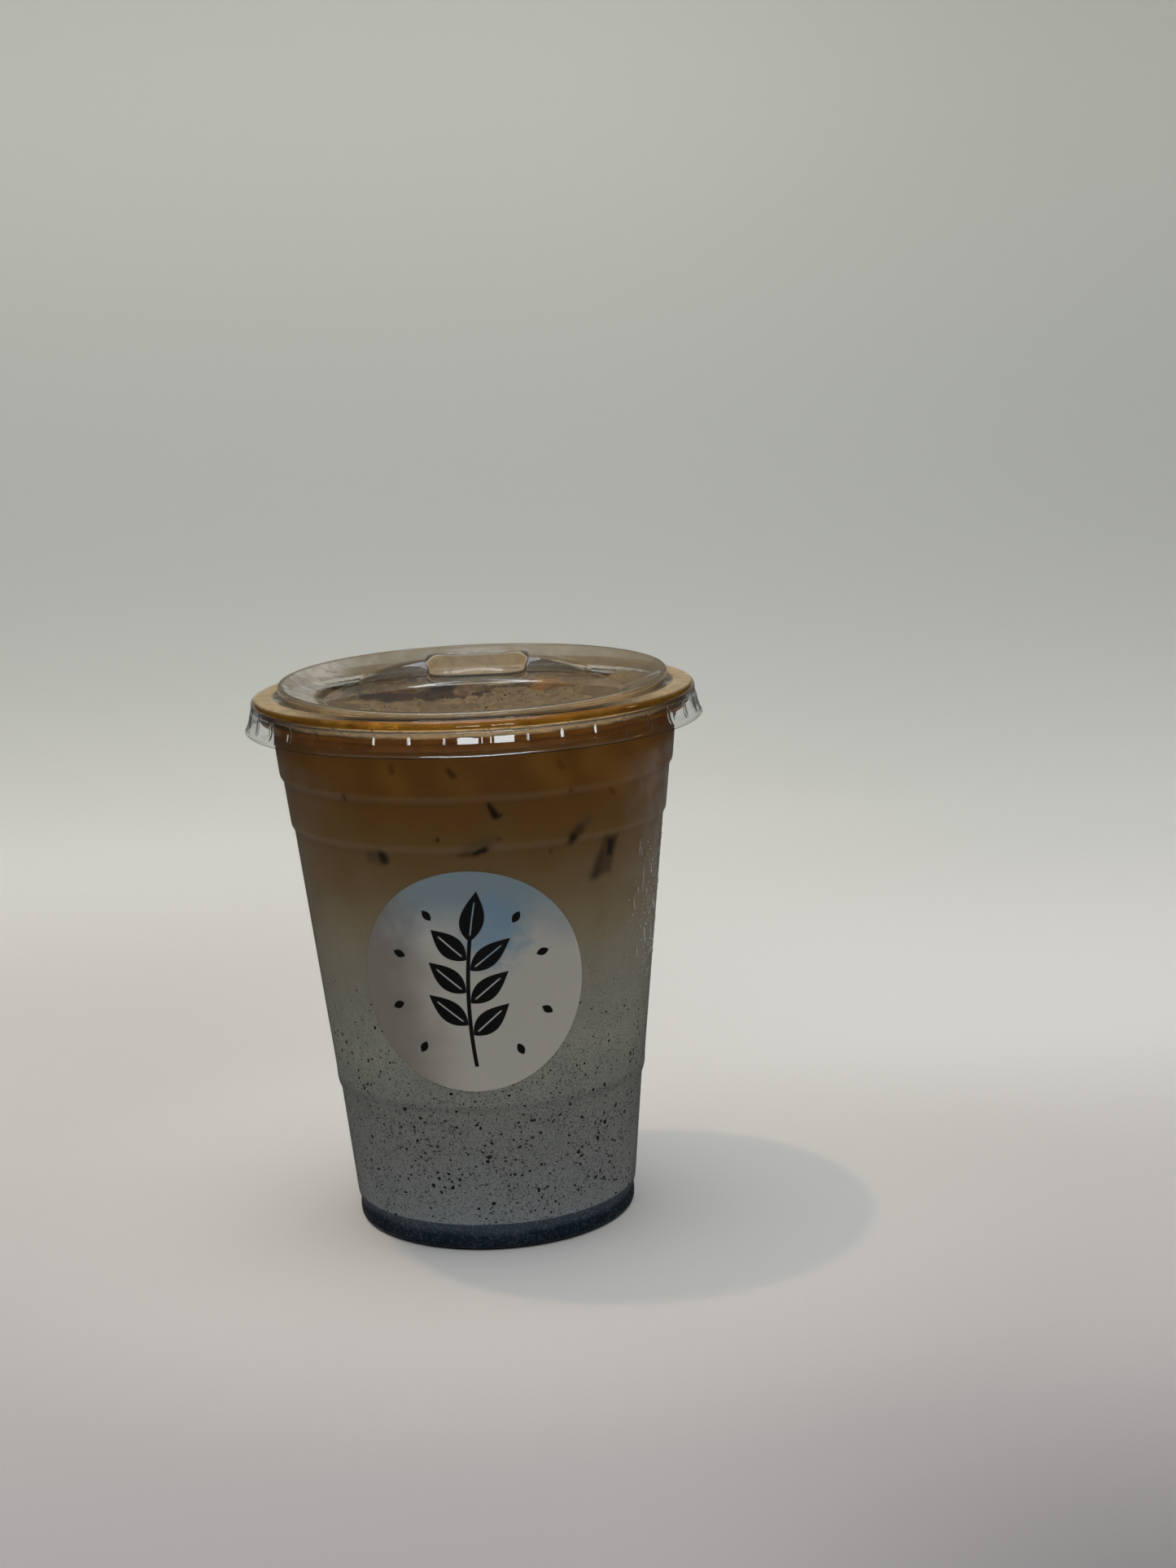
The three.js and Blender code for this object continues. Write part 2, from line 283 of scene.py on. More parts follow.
# Looks along (sin yaw cos pitch, cos yaw cos pitch, -sin pitch), then rolls about that line
def makeCamera(c):
    yaw, pitch, roll = (math.radians(c[name]) for name in ("yaw", "pitch", "roll"))
    ahead = np.array([math.sin(yaw) * math.cos(pitch), math.cos(yaw) * math.cos(pitch), -math.sin(pitch)])
    right = np.array([math.cos(yaw), -math.sin(yaw), 0.0])
    up = np.cross(right, ahead)
    rightTurned = math.cos(roll) * right + math.sin(roll) * up
    upTurned = math.cos(roll) * up - math.sin(roll) * right
    data = bpy.data.cameras.new("camera")
    data.sensor_width = c["sensor"]
    data.lens = c["focalPixels"] / c["imageHeight"] * c["sensor"]
    data.clip_start = 0.01
    data.clip_end = 30.0
    view = bpy.data.objects.new("camera", data)
    bpy.context.scene.collection.objects.link(view)
    turn = np.column_stack([rightTurned, upTurned, -ahead])
    matrix = view.matrix_world.copy()
    for row in range(3):
        matrix[row][:3] = turn[row]
        matrix[row][3] = c["position"][row] * mm
    view.matrix_world = matrix
    bpy.context.scene.camera = view


makeCamera(camera)
print("camera placed")

# Cup: one thin sheet, from the middle of its raised floor to the end of its rolled rim

cup = {
    "wall": 0.34,
    "segments": 256,
    # Outside of the sheet: radius, height, how far the corner is rounded
    "outline": [
        (0, 3.0, 0),
        (28.5, 1.8, 1.2),
        (29.6, 0, 0.35),
        (31.6, 0, 0.35),
        (32.3, 0.7, 0.4),
        (32.4, 2.6, 0.7),
        (32.0, 4.3, 0.7),
        (32.75, 5.6, 0.6),
        (33.0, 8.0, 0.8),
        (35.26, 31.6, 0.8),
        (35.98, 33.35, 1.0),
        (36.16, 36.6, 1.4),
        (42.37, 93.4, 0.6),
        (43.034, 94.31, 0.7),
        (43.2, 96.0, 1.0),
        (44.2, 104.7, 0.6),
        (44.936, 105.645, 0.7),
        (45.12, 107.4, 1.0),
        (46.15, 117.6, 0.6),
        (46.6, 119.5, 0),
    ],
    "rimCentre": (47.6, 119.5),
    "rimRadius": 1.0,  # of the inner side of the roll
    "rollEnd": -130,
}


# The outline with its corners rounded, then the roll of the rim as an arc
def cupLine(c):
    outline = np.array(c["outline"])
    line = roundCorners(outline[:, :2], outline[1:-1, 2])
    roll = np.radians(np.linspace(165, c["rollEnd"], 18))
    arc = np.stack([np.cos(roll), np.sin(roll)], axis=-1) * c["rimRadius"] + np.array(c["rimCentre"])
    return np.concatenate([line, arc])


outerLine = cupLine(cup)
wallPart = outerLine[(outerLine[:, 1] > 5) & (outerLine[:, 1] < 119.4) & (outerLine[:, 0] < 46.6)]


# Radius of the outside of the wall at a height
def wallRadius(height):
    return np.interp(height, wallPart[:, 1], wallPart[:, 0])


# Clear sheet with slow waves in it. `film` gives how much a film covers it, and its colour: dried coffee,
# mist, and painted light and shade
def clearPlastic(name, wave, film=None):
    finish = Finish(name)
    x, y, z = finish.axes()
    stretched = finish.add("Mapping", None, {0: finish.place, "Scale": (1.0, 1.0, 0.35)})
    flow = finish.noise(9.0, 2.0, 0.4, stretched)
    fine = finish.noise(1.3, 1.0)
    upright = ((x * x + y * y).root() * 1000).between(34, 37)
    bent = finish.bump((flow + fine * 0.04) * upright, wave)
    look = {
        "Base Color": (0.985, 0.99, 0.985),
        "Transmission Weight": 1.0,
        "IOR": 1.57,
        "Roughness": 0.012,
        "Normal": bent,
    }
    sheet = finish.clear(look, (0.93, 0.935, 0.93))
    if film:
        cover, colour = film(finish)
        filmSurface = finish.surface({"Base Color": colour, "Roughness": 0.3, "Normal": bent})
        sheet = finish.add("MixShader", None, {0: cover, 1: sheet, 2: filmSurface})
    return finish.done(sheet)


# Pale film on the cold cup at its sides, thicker in the upper half and at the right: real mist, most of it at
# the right, and painted light that makes the sides lighter than the front
def coldFilmAndSideLight(finish):
    x, y, z = finish.axes()
    turn = x.math("ARCTAN2", x.size(), y * -1)
    patch = finish.noise(5.0, 4.0).between(0.35, 0.65)
    zone = (z.between(0.050, 0.075) * 0.5 + 0.5) * z.between(0.006, 0.012) * (1 - z.between(0.108, 0.113))
    right = x.between(0.028, 0.040) * 0.10 + 0.06
    # Painted light: the two sides are made lighter than the front
    sides = turn.between(0.55, 1.20) * 0.9 + turn.between(1.10, 1.35) * 0.4
    sides = sides * (1 - turn.between(1.9, 2.5) * 0.8)
    return sides * zone * right * (patch * 0.7 + 0.5), (0.75, 0.74, 0.72)


# The outline out and back inside its thickness, turned round the axis
def makeCup(c):
    turns = np.linspace(0, 2 * math.pi, c["segments"], endpoint=False)
    section = sheetSection(outerLine, -c["wall"])
    section[-1, 0] = 0
    points = turned(section, turns)
    faces = gridFaces(c["segments"], len(section), wrapRows=True)
    return makePiece("clear_cup_shell", points, faces, clearPlastic("clear cup plastic", 0.08, coldFilmAndSideLight))


dress(makeCup(cup), "clear_cup", "cup")

# Lid: fluted skirt, ring over the rim, raised ring, sunken panel, mouthpiece facet and well

lid = {
    "wall": 0.30,
    "turn": -2.0,  # degrees, the mouthpiece sits a little to the right of +Y
    "panelRadius": 34.0,
    "panelHeight": 122.0,
    "panelSlope": 0.01,  # it climbs towards the mouthpiece
    "innerLine": 41.5,
    "ringHeight": 125.3,
    "rise": 1.2,  # of the raised ring at the mouthpiece
    "drop": 2.0,  # of the raised ring at the front
    # Raised ring, ring over the rim and skirt: radius, height, share of the tilt, share of a rib, rounding
    "ringAndSkirt": [
        (43.4, 126.3, 1, 0, 0.9),
        (44.2, 126.1, 1, 0, 0.35),
        (44.45, 125.3, 1, 0, 0.5),
        (43.4, 122.8, 0, 0, 0.45),
        (46.5, 123.75, 0, 0, 1.0),
        (49.5, 123.6, 0, 0, 0.6),
        (50.45, 122.6, 0, 0, 0.6),
        (50.45, 120.9, 0, 0, 0.3),
        (50.75, 120.3, 0, 1, 0.3),
        (51.15, 118.2, 0, 1, 0.5),
        (51.6, 117.0, 0, 0, 0.4),
        (51.72, 116.5, 0, 0, 0.2),
        (52.1, 116.1, 0, 0, 0),
    ],
    "facetHalfAngle": 53.0,
    "facetStep": 0.8,
    "skirtRadius": 51,
    "ribs": 40,
    "ribDepth": 0.32,
    "ribWidth": 0.42,
    "ribSamples": (-3.6, -2.4, -1.3, -0.8, -0.5, -0.25, 0, 0.25, 0.5, 0.8, 1.3, 2.4),  # degrees from a rib
}


# Top of the lid at angles counted from +X in the lid's own turn, from the axis out to the lip.
# The facet's share is 1 - (away / half angle)^2; its edge slides from the panel to the ring with it. The
# raised ring is lifted by a polynomial in the sine of the angle: +rise at the back, -drop at the front.
def lidLine(c, angle):
    away = np.abs(np.arctan2(np.sin(angle - math.pi / 2), np.cos(angle - math.pi / 2)))
    share = np.maximum(0, 1 - (away / math.radians(c["facetHalfAngle"])) ** 2)
    reach = c["innerLine"] - 1 - c["panelRadius"]
    edge = c["panelRadius"] + reach * share
    slope = c["panelSlope"] * np.sin(angle)
    panelEdge = c["panelHeight"] + slope * c["panelRadius"]
    climb = (c["ringHeight"] - panelEdge) / (c["innerLine"] - c["panelRadius"])
    edgeHeight = panelEdge + (edge - c["panelRadius"]) * climb
    step = c["facetStep"] * np.minimum(1, 3 * share)
    ribPitch = 2 * math.pi / c["ribs"]
    fromRib = (angle % ribPitch) - ribPitch / 2
    rib = c["ribDepth"] * np.exp(-((fromRib * c["skirtRadius"] / c["ribWidth"]) ** 2))
    turn = np.sin(angle)
    lift = (c["rise"] + c["drop"]) / 2 * turn + (c["rise"] - c["drop"]) / 2 * turn**2
    flat = 0 * angle
    rows = [  # radius, height, share of the tilt, rounding
        (flat, c["panelHeight"] + flat, 0, 0),
        (flat + 12, c["panelHeight"] + slope * 12, 0, 0.1),
        (flat + 24, c["panelHeight"] + slope * 24, 0, 0.1),
        (flat + c["panelRadius"], panelEdge, 0, 0.7),
        (edge - 0.5 * step + 0.5, edgeHeight - step + 0.2, 1, 0.25),
        (edge + 0.8, edgeHeight + 0.3, 1, 0.25),
        (flat + c["innerLine"], c["ringHeight"] + flat, 1, 0.8),
    ]
    for radius, height, tilt, ribShare, cut in c["ringAndSkirt"]:
        rows.append((radius - ribShare * rib, height + flat, tilt, cut))
    tilted = [(r, z + tilt * lift * (r - c["panelRadius"]) / 10) for r, z, tilt, cut in rows]
    line = np.stack([np.stack(row, axis=-1) for row in tilted], axis=-2)
    return roundCorners(line, [cut for *rest, cut in rows[1:-1]], 4)


# Height of the lid's top above points in plan
def lidHeight(x, y):
    angle = np.arctan2(y, x) - math.radians(lid["turn"])
    line = lidLine(lid, angle)
    radius = np.hypot(x, y)[:, None]
    reach = line[..., 0] <= radius
    last = np.clip(reach.cumprod(axis=-1).sum(axis=-1) - 1, 0, line.shape[-2] - 2)[:, None, None]
    low = np.take_along_axis(line, last, axis=-2)[:, 0]
    high = np.take_along_axis(line, last + 1, axis=-2)[:, 0]
    share = np.clip((radius[:, 0] - low[:, 0]) / np.maximum(high[:, 0] - low[:, 0], 1e-6), 0, 1)
    return low[:, 1] + share * (high[:, 1] - low[:, 1])


well = {
    "nearEdge": 25.2,
    "farEdge": 40.2,
    "nearHalfWidth": 10.3,
    "farHalfWidth": 13.4,
    "floorTop": 120.6,
    "lipHeight": 0.3,
    "sharpness": 4.4,  # how square its outline is
    "slotLength": 17.0,
    "slotWidth": 7.5,
    "cut": (119.0, 130.0),  # heights between which the lid is opened for it
    "around": 144,
}


# Plan outline of the well as distance from its middle in each direction: the nearest of the four sides,
# near, far, and the two slanting ones, with (sum side^-n)^(-1/n) rounding the corners between them
def wellReach(c, direction, inset):
    halfDepth = (c["farEdge"] - c["nearEdge"]) / 2 - inset
    middleWidth = (c["farHalfWidth"] + c["nearHalfWidth"]) / 2 - inset
    slant = (c["farHalfWidth"] - c["nearHalfWidth"]) / (c["farEdge"] - c["nearEdge"])
    across = np.abs(np.cos(direction)) / middleWidth
    across = across / (1 + slant * halfDepth * np.sin(direction) / middleWidth * 0.9)
    upDown = np.abs(np.sin(direction)) / halfDepth
    return (across ** c["sharpness"] + upDown ** c["sharpness"]) ** (-1 / c["sharpness"])


# Outline of the slot in the same way: half its straight length across, rounded ends
def slotReach(c, direction):
    radius = c["slotWidth"] / 2
    straight = c["slotLength"] / 2 - radius
    flat = radius / np.maximum(np.abs(np.sin(direction)), 1e-6)
    along = np.abs(np.cos(direction))
    root = np.sqrt(np.maximum(radius**2 - (straight * np.sin(direction)) ** 2, 0))
    end = straight * along + root
    return np.where(flat * along <= straight, flat, end)


# Plan points at a reach from the well's middle in each direction, in the lid's own turn
def wellPoints(c, reach, direction):
    x = reach * np.cos(direction)
    y = (c["nearEdge"] + c["farEdge"]) / 2 + reach * np.sin(direction)
    turn = math.radians(lid["turn"])
    return x * math.cos(turn) - y * math.sin(turn), x * math.sin(turn) + y * math.cos(turn)


# The tray of the well: rings of points from its lip down the wall and over the floor to the slot, and back
# underneath, each ring an outline at a height
def makeTray(c, wall):
    direction = np.linspace(0, 2 * math.pi, c["around"], endpoint=False)
    floor = c["floorTop"]
    slot = slotReach(c, direction)
    inner = wellReach(c, direction, wall)
    outer = wellReach(c, direction, 0)
    lip = lidHeight(*wellPoints(c, inner, direction)) + c["lipHeight"]
    lipOuter = lidHeight(*wellPoints(c, outer, direction)) + c["lipHeight"]
    level = np.ones(c["around"])
    bend = 0.5
    rings = [
        (inner, lip),
        (inner - 0.15, floor + 0.5 * (lip - floor)),
        (inner - 0.3, floor + bend * level),
        (inner - 0.3 - 0.3 * bend, floor + 0.25 * bend * level),
        (inner - 0.3 - bend, floor * level),
        (slot + 0.15, floor * level),
        (slot, (floor - 0.12) * level),
        (slot, (floor - wall + 0.12) * level),
        (slot + 0.15, (floor - wall) * level),
        (inner - 0.4 - bend, (floor - wall) * level),
        (outer - 0.25 - 0.3 * bend, (floor - wall + 0.2 * bend) * level),
        (outer - 0.22, (floor + 0.5 * bend) * level),
        (outer - 0.1, floor + 0.6 * (lipOuter - floor)),
        (outer, lipOuter - 0.12),
        (0.6 * outer + 0.4 * inner, 0.5 * (lip + lipOuter) + 0.05),
    ]
    points = []
    for reach, height in rings:
        x, y = wellPoints(c, reach, direction)
        points.append(np.stack([x, y, height], axis=-1))
    faces = gridFaces(len(rings), c["around"], wrapRows=True, wrapColumns=True)
    return makePiece("well_tray", np.concatenate(points), faces)


# An upright prism over the well, to open the lid where the tray goes
def makeWellCutter(c, inset):
    direction = np.linspace(0, 2 * math.pi, c["around"], endpoint=False)
    x, y = wellPoints(c, wellReach(c, direction, inset), direction)
    middle = wellPoints(c, 0, np.zeros(1))
    rings = []
    for height in c["cut"]:
        cap = np.stack([middle[0] + 0 * x, middle[1] + 0 * y, height + 0 * x], axis=-1)
        edge = np.stack([x, y, height + 0 * x], axis=-1)
        rings.extend([cap, edge] if height == c["cut"][0] else [edge, cap])
    faces = gridFaces(len(rings), c["around"], wrapColumns=True)
    return makePiece("well_cutter", np.concatenate(rings), faces)


# Joins or cuts a piece with a tool, writes the result into the piece's mesh and removes the tool
def combine(piece, tool, operation):
    change = piece.modifiers.new("combine", "BOOLEAN")
    change.operation = operation
    change.solver = "MANIFOLD"
    change.object = tool
    bpy.context.view_layer.update()
    scene = bpy.context.evaluated_depsgraph_get()
    result = bpy.data.meshes.new_from_object(piece.evaluated_get(scene))
    piece.modifiers.clear()
    piece.data = result
    bpy.data.objects.remove(tool)


# Film on the lid, with painted shade on the facet, round the well's lip and on the well's near part, and a
# painted reflection inside the raised ring at the left. The facet reaches from the panel to 6.5 (1 - (away /
# half angle)^2) beyond it; a point is in the well where |across / half width|^n + |along / half depth|^n < 1
def lidFilm(finish):
    x, y, z = finish.axes()
    c = lid
    fromAxis = (x * x + y * y).root() * 1000
    away = x.math("ARCTAN2", x, y).size() / math.radians(c["facetHalfAngle"])
    share = (1 - away * away).most(0.0)
    edge = share * (c["innerLine"] - 1 - c["panelRadius"]) + c["panelRadius"]
    # Painted shade: a dark film on the facet stands for the shade and dark reflection it shows
    facet = fromAxis.between(c["panelRadius"], c["panelRadius"] + 0.8)
    facet = facet * (1 - (fromAxis - edge).between(-0.2, 0.6)) * share.between(0.0, 0.1)
    turn = math.radians(c["turn"])
    across = (x * math.cos(turn) + y * math.sin(turn)) * 1000
    along = (y * math.cos(turn) - x * math.sin(turn)) * 1000 - (well["nearEdge"] + well["farEdge"]) / 2
    slant = (well["farHalfWidth"] - well["nearHalfWidth"]) / (well["farEdge"] - well["nearEdge"])
    across = across.size() / (along * slant + (well["nearHalfWidth"] + well["farHalfWidth"]) / 2)
    along = along / ((well["farEdge"] - well["nearEdge"]) / 2)
    # Painted shade: the well's near part is greyer, for its darker near wall
    nearWallShade = 1 - along.between(-0.40, -0.25)
    along = along.size()
    inWell = 1 - (across ** well["sharpness"] + along ** well["sharpness"]).between(0.80, 0.95)
    # Painted shade: a dark ring round the well's lip stands for the dark edge line seen there
    lip = (1 - inWell) * (1 - (across ** well["sharpness"] + along ** well["sharpness"]).between(1.05, 1.2))
    patch = finish.noise(4.0, 3.0, 0.8).between(0.35, 0.65)
    back = y.between(-0.010, 0.020)
    ring = fromAxis.between(35.0, 37.0) * (1 - fromAxis.between(44.6, 45.2)) * (back * 0.3 + 0.7)
    crest = fromAxis.between(41.5, 43.0) * (1 - fromAxis.between(44.6, 45.2)) * back
    # Whitish film inside the raised ring at the left: a painted reflection of the backdrop
    leftReflection = fromAxis.between(35.0, 37.0) * (1 - fromAxis.between(42.5, 44.0)) * (1 - x.between(-0.036, -0.022))
    # Foam dried under the flat ring, most of it at the two sides
    sides = fromAxis.between(44.8, 46.0) * (1 - fromAxis.between(49.4, 50.2)) * x.size().between(0.024, 0.044)
    cover = (ring * (0.17 + patch * 0.14) + crest * 0.10).most(facet * (0.62 + patch * 0.16))
    cover = cover.most(inWell * (0.62 + patch * 0.16)).most(lip * 0.8).most(sides * (0.60 + patch * 0.2))
    shade = finish.mix(facet * (1 - inWell), (0.42, 0.33, 0.21), (0.080, 0.053, 0.030))
    inside = finish.mix(nearWallShade, (0.76, 0.58, 0.36), (0.34, 0.32, 0.28))
    shade = finish.mix(inWell, finish.mix(lip, shade, (0.07, 0.06, 0.05)), inside)
    shade = finish.mix(sides, shade, (0.68, 0.50, 0.285))
    cover = cover.most(leftReflection * (0.30 + patch * 0.35))
    return cover, finish.mix(leftReflection, shade, (0.70, 0.65, 0.56))


# The lid's line at each angle, doubled into a sheet and carried round, with the well's tray let into it. The
# angles crowd together at each rib of the skirt
def makeLid(c):
    starts = np.arange(c["ribs"]) * 2 * math.pi / c["ribs"] + math.pi / c["ribs"]
    angle = (starts[:, None] + np.radians(c["ribSamples"])[None, :]).ravel()
    section = sheetSection(lidLine(c, angle), c["wall"])
    section[:, 0, 0] = 0
    section[:, -1, 0] = 0
    turns = angle + math.radians(c["turn"]) + math.pi / 2
    faces = gridFaces(len(turns), section.shape[-2], wrapRows=True)
    plastic = clearPlastic("clear lid plastic", 0.05, lidFilm)
    shell = makePiece("clear_lid_shell", turned(section, turns), faces, plastic)
    combine(shell, makeWellCutter(well, c["wall"] / 2), "DIFFERENCE")
    combine(shell, makeTray(well, c["wall"]), "UNION")
    shadeSmooth(shell.data, 32.0)
    return shell


dress(makeLid(lid), "clear_lid", "lid")

# Drink: paste, milk and coffee, each a turned solid that reaches just into the wall

drink = {
    "intoWall": 0.20,  # how far its side lies inside the outer face of the wall
    "pasteTop": 6.4,
    "pasteHeights": (1.3, 1.6, 2.2, 2.9, 3.5, 4.1, 4.7, 5.2, 5.6, 6.0, 6.4),
    "pasteBase": ((0, 3.28), (28.55, 2.06), (29.75, 0.55), (31.5, 0.4)),  # radius and height, over the foot
    "milkTop": 70.15,
    "coffeeTop": 117.15,
    "segments": 360,
    # Heights of the bands where the wall steps out, painted as light and shade in the drink
    "lowStep": (33.6, 34.8),
    "middleStep": (93.9, 95.1),
    "highStep": (105.0, 106.2),
    # Height and colour, blended in between
    "colours": [
        (6, (0.520, 0.540, 0.545)),
        (14, (0.505, 0.505, 0.495)),
        (24, (0.485, 0.475, 0.445)),
        (34, (0.520, 0.510, 0.455)),
        (46, (0.640, 0.620, 0.515)),
        (58, (0.560, 0.525, 0.420)),
        (68, (0.525, 0.455, 0.325)),
        (76, (0.455, 0.345, 0.200)),
        (84, (0.370, 0.245, 0.120)),
        (92, (0.330, 0.190, 0.073)),
        (99, (0.305, 0.155, 0.041)),
        (108, (0.290, 0.125, 0.025)),
        (118, (0.320, 0.135, 0.020)),
    ],
}


# Solid of revolution between two heights: flat underneath and on top, its side following the wall
def drinkSection(heights, bottom=None):
    side = np.stack([wallRadius(heights) - drink["intoWall"], heights], axis=-1)
    below = np.array(bottom if bottom else [(0, heights[0])])
    above = np.array([(0.6 * side[-1, 0], heights[-1]), (0, heights[-1])])
    return np.concatenate([below, side, above])


# That section turned round the axis
def makeLayer(name, heights, material, segments, bottom=None):
    turns = np.linspace(0, 2 * math.pi, segments, endpoint=False)
    section = drinkSection(heights, bottom)
    faces = gridFaces(segments, len(section), wrapRows=True)
    return makePiece(name, turned(section, turns), faces, material, 60.0)


# 1 between two heights, fading out beyond them
def band(height, low, high):
    return height.between(low - 0.8, low + 0.4) * (1 - height.between(high - 0.4, high + 0.8))


# Colour by height, with the layers' border stirred up by slow noise
def drinkColour(finish):
    height = finish.axes()[2] * 1000
    low, high = drink["colours"][0][0], drink["colours"][-1][0]
    stirred = height + (finish.noise(22, 2.0, 0.6) - 0.5) * 13 + (finish.noise(6, 2.0) - 0.5) * 3
    stops = [((level - low) / (high - low), colour) for level, colour in drink["colours"]]
    return finish.ramp((stirred - low) / (high - low), stops), height


# Sesame milk: fine dust, small grains and larger ones, thicker towards the bottom, faint mottling, and
# painted shade along the low step of the wall
def milkMaterial():
    finish = Finish("sesame milk")
    colour, height = drinkColour(finish)
    cloud = finish.noise(5.0, 3.0)
    lower = 1 - height.between(34, 74) * 0.9
    crowd = finish.noise(3.4, 2.0).between(0.36, 0.60)
    large = (1 - finish.cells(0.95).between(0.16, 0.30)) * finish.noise(1.7, 1.0).between(0.50, 0.60)
    small = (1 - finish.cells(0.55).between(0.16, 0.36)) * finish.noise(1.1, 1.0).between(0.42, 0.58)
    dust = finish.noise(0.42, 3.0).between(0.47, 0.66)
    share = (large * 0.9).most(small * (0.45 + crowd * 0.35)).most(dust * 0.5) * lower
    mottled = finish.mix(cloud.between(0.40, 0.70) * 0.22, colour, (0.36, 0.39, 0.375))
    # Painted shade: a darker band where the wall steps out
    stepShade = finish.mix(band(height, *drink["lowStep"]) * 0.5, mottled, (0.33, 0.33, 0.30))
    dark = finish.mix(share, stepShade, (0.028, 0.028, 0.028))
    look = {
        "Base Color": dark,
        "Roughness": 0.42 + dust * 0.12,
        "Specular IOR Level": 0.0,
    }
    return finish.done(finish.surface(look))


# Milk coffee: colour by height, streaked, painted lighter at the wall's steps, with the covers of makeCoffee
# laid over it
def coffeeMaterial():
    finish = Finish("milk coffee")
    colour, height = drinkColour(finish)
    streaks = finish.noise(7.0, 3.0, 1.2).between(0.45, 0.75) * height.between(80, 100)
    # Painted light: lighter pinkish bands where the wall steps out
    steps = band(height, *drink["middleStep"]) + band(height, *drink["highStep"])
    stepLight = finish.mix(steps * 0.2, colour, (0.56, 0.39, 0.25))
    warm = finish.mix(finish.attribute("warm") * 0.6, stepLight, (0.50, 0.225, 0.042))
    deeper = finish.mix(streaks * 0.25, warm, (0.33, 0.150, 0.030))
    halo = finish.mix(finish.attribute("halo"), deeper, (0.125, 0.098, 0.065))
    dark = finish.mix(finish.attribute("film"), halo, (0.010, 0.006, 0.003))
    dust = finish.noise(0.4, 2.0).between(0.60, 0.72) * (1 - height.between(70, 84))
    grains = finish.mix(dust * 0.4, dark, (0.05, 0.045, 0.04))
    look = {
        "Base Color": grains,
        "Roughness": 0.40 + finish.noise(3.0) * 0.1,
        "Specular IOR Level": 0.0,
    }
    return finish.done(finish.surface(look))


# Sesame paste, nearly black, greyer where the milk above thins it; its darker lower part is partly painted
# shade, where little light gets into the foot
def pasteMaterial():
    finish = Finish("sesame paste")
    height = finish.axes()[2] * 1000 + (finish.noise(9, 3.0) - 0.5) * 2.0
    grain = finish.noise(0.6, 2.0).between(0.50, 0.66)
    upper = height.between(3.0, 5.0)
    # Darker below 3 mm: partly the paste, partly painted shade in the foot
    base = finish.mix(upper, (0.012, 0.024, 0.042), (0.115, 0.145, 0.18))
    look = {
        "Base Color": finish.mix(grain * (0.22 + upper * 0.42), base, (0.27, 0.31, 0.35)),
        "Roughness": 0.35 + grain * 0.2,
        "Specular IOR Level": 0.0,
    }
    return finish.done(finish.surface(look))


milkMade = makeLayer("grey_sesame_milk", np.linspace(drink["pasteTop"], drink["milkTop"], 84), milkMaterial(),
                     drink["segments"])
dress(milkMade, "sesame_milk", "sesame_milk")

pasteLine = outerLine[(outerLine[:, 1] > 0.9) & (outerLine[:, 1] < 7) & (outerLine[:, 0] > 31)]


# wallRadius only holds above 5 mm, so the paste takes its side from the lowest part of the sheet's outline
def makePaste():
    heights = np.array(drink["pasteHeights"])
    radius = np.interp(heights, pasteLine[:, 1], pasteLine[:, 0]) - drink["intoWall"]
    side = np.stack([radius, heights], axis=-1)
    below = np.array(drink["pasteBase"])
    above = np.array([(20, drink["pasteTop"]), (0, drink["pasteTop"])])
    section = np.concatenate([below, side, above])
    turns = np.linspace(0, 2 * math.pi, drink["segments"], endpoint=False)
    faces = gridFaces(len(turns), len(section), wrapRows=True)
    return makePiece("dark_sesame_paste", turned(section, turns), faces, pasteMaterial(), 60.0)


dress(makePaste(), "sesame_paste", "sesame_sediment")

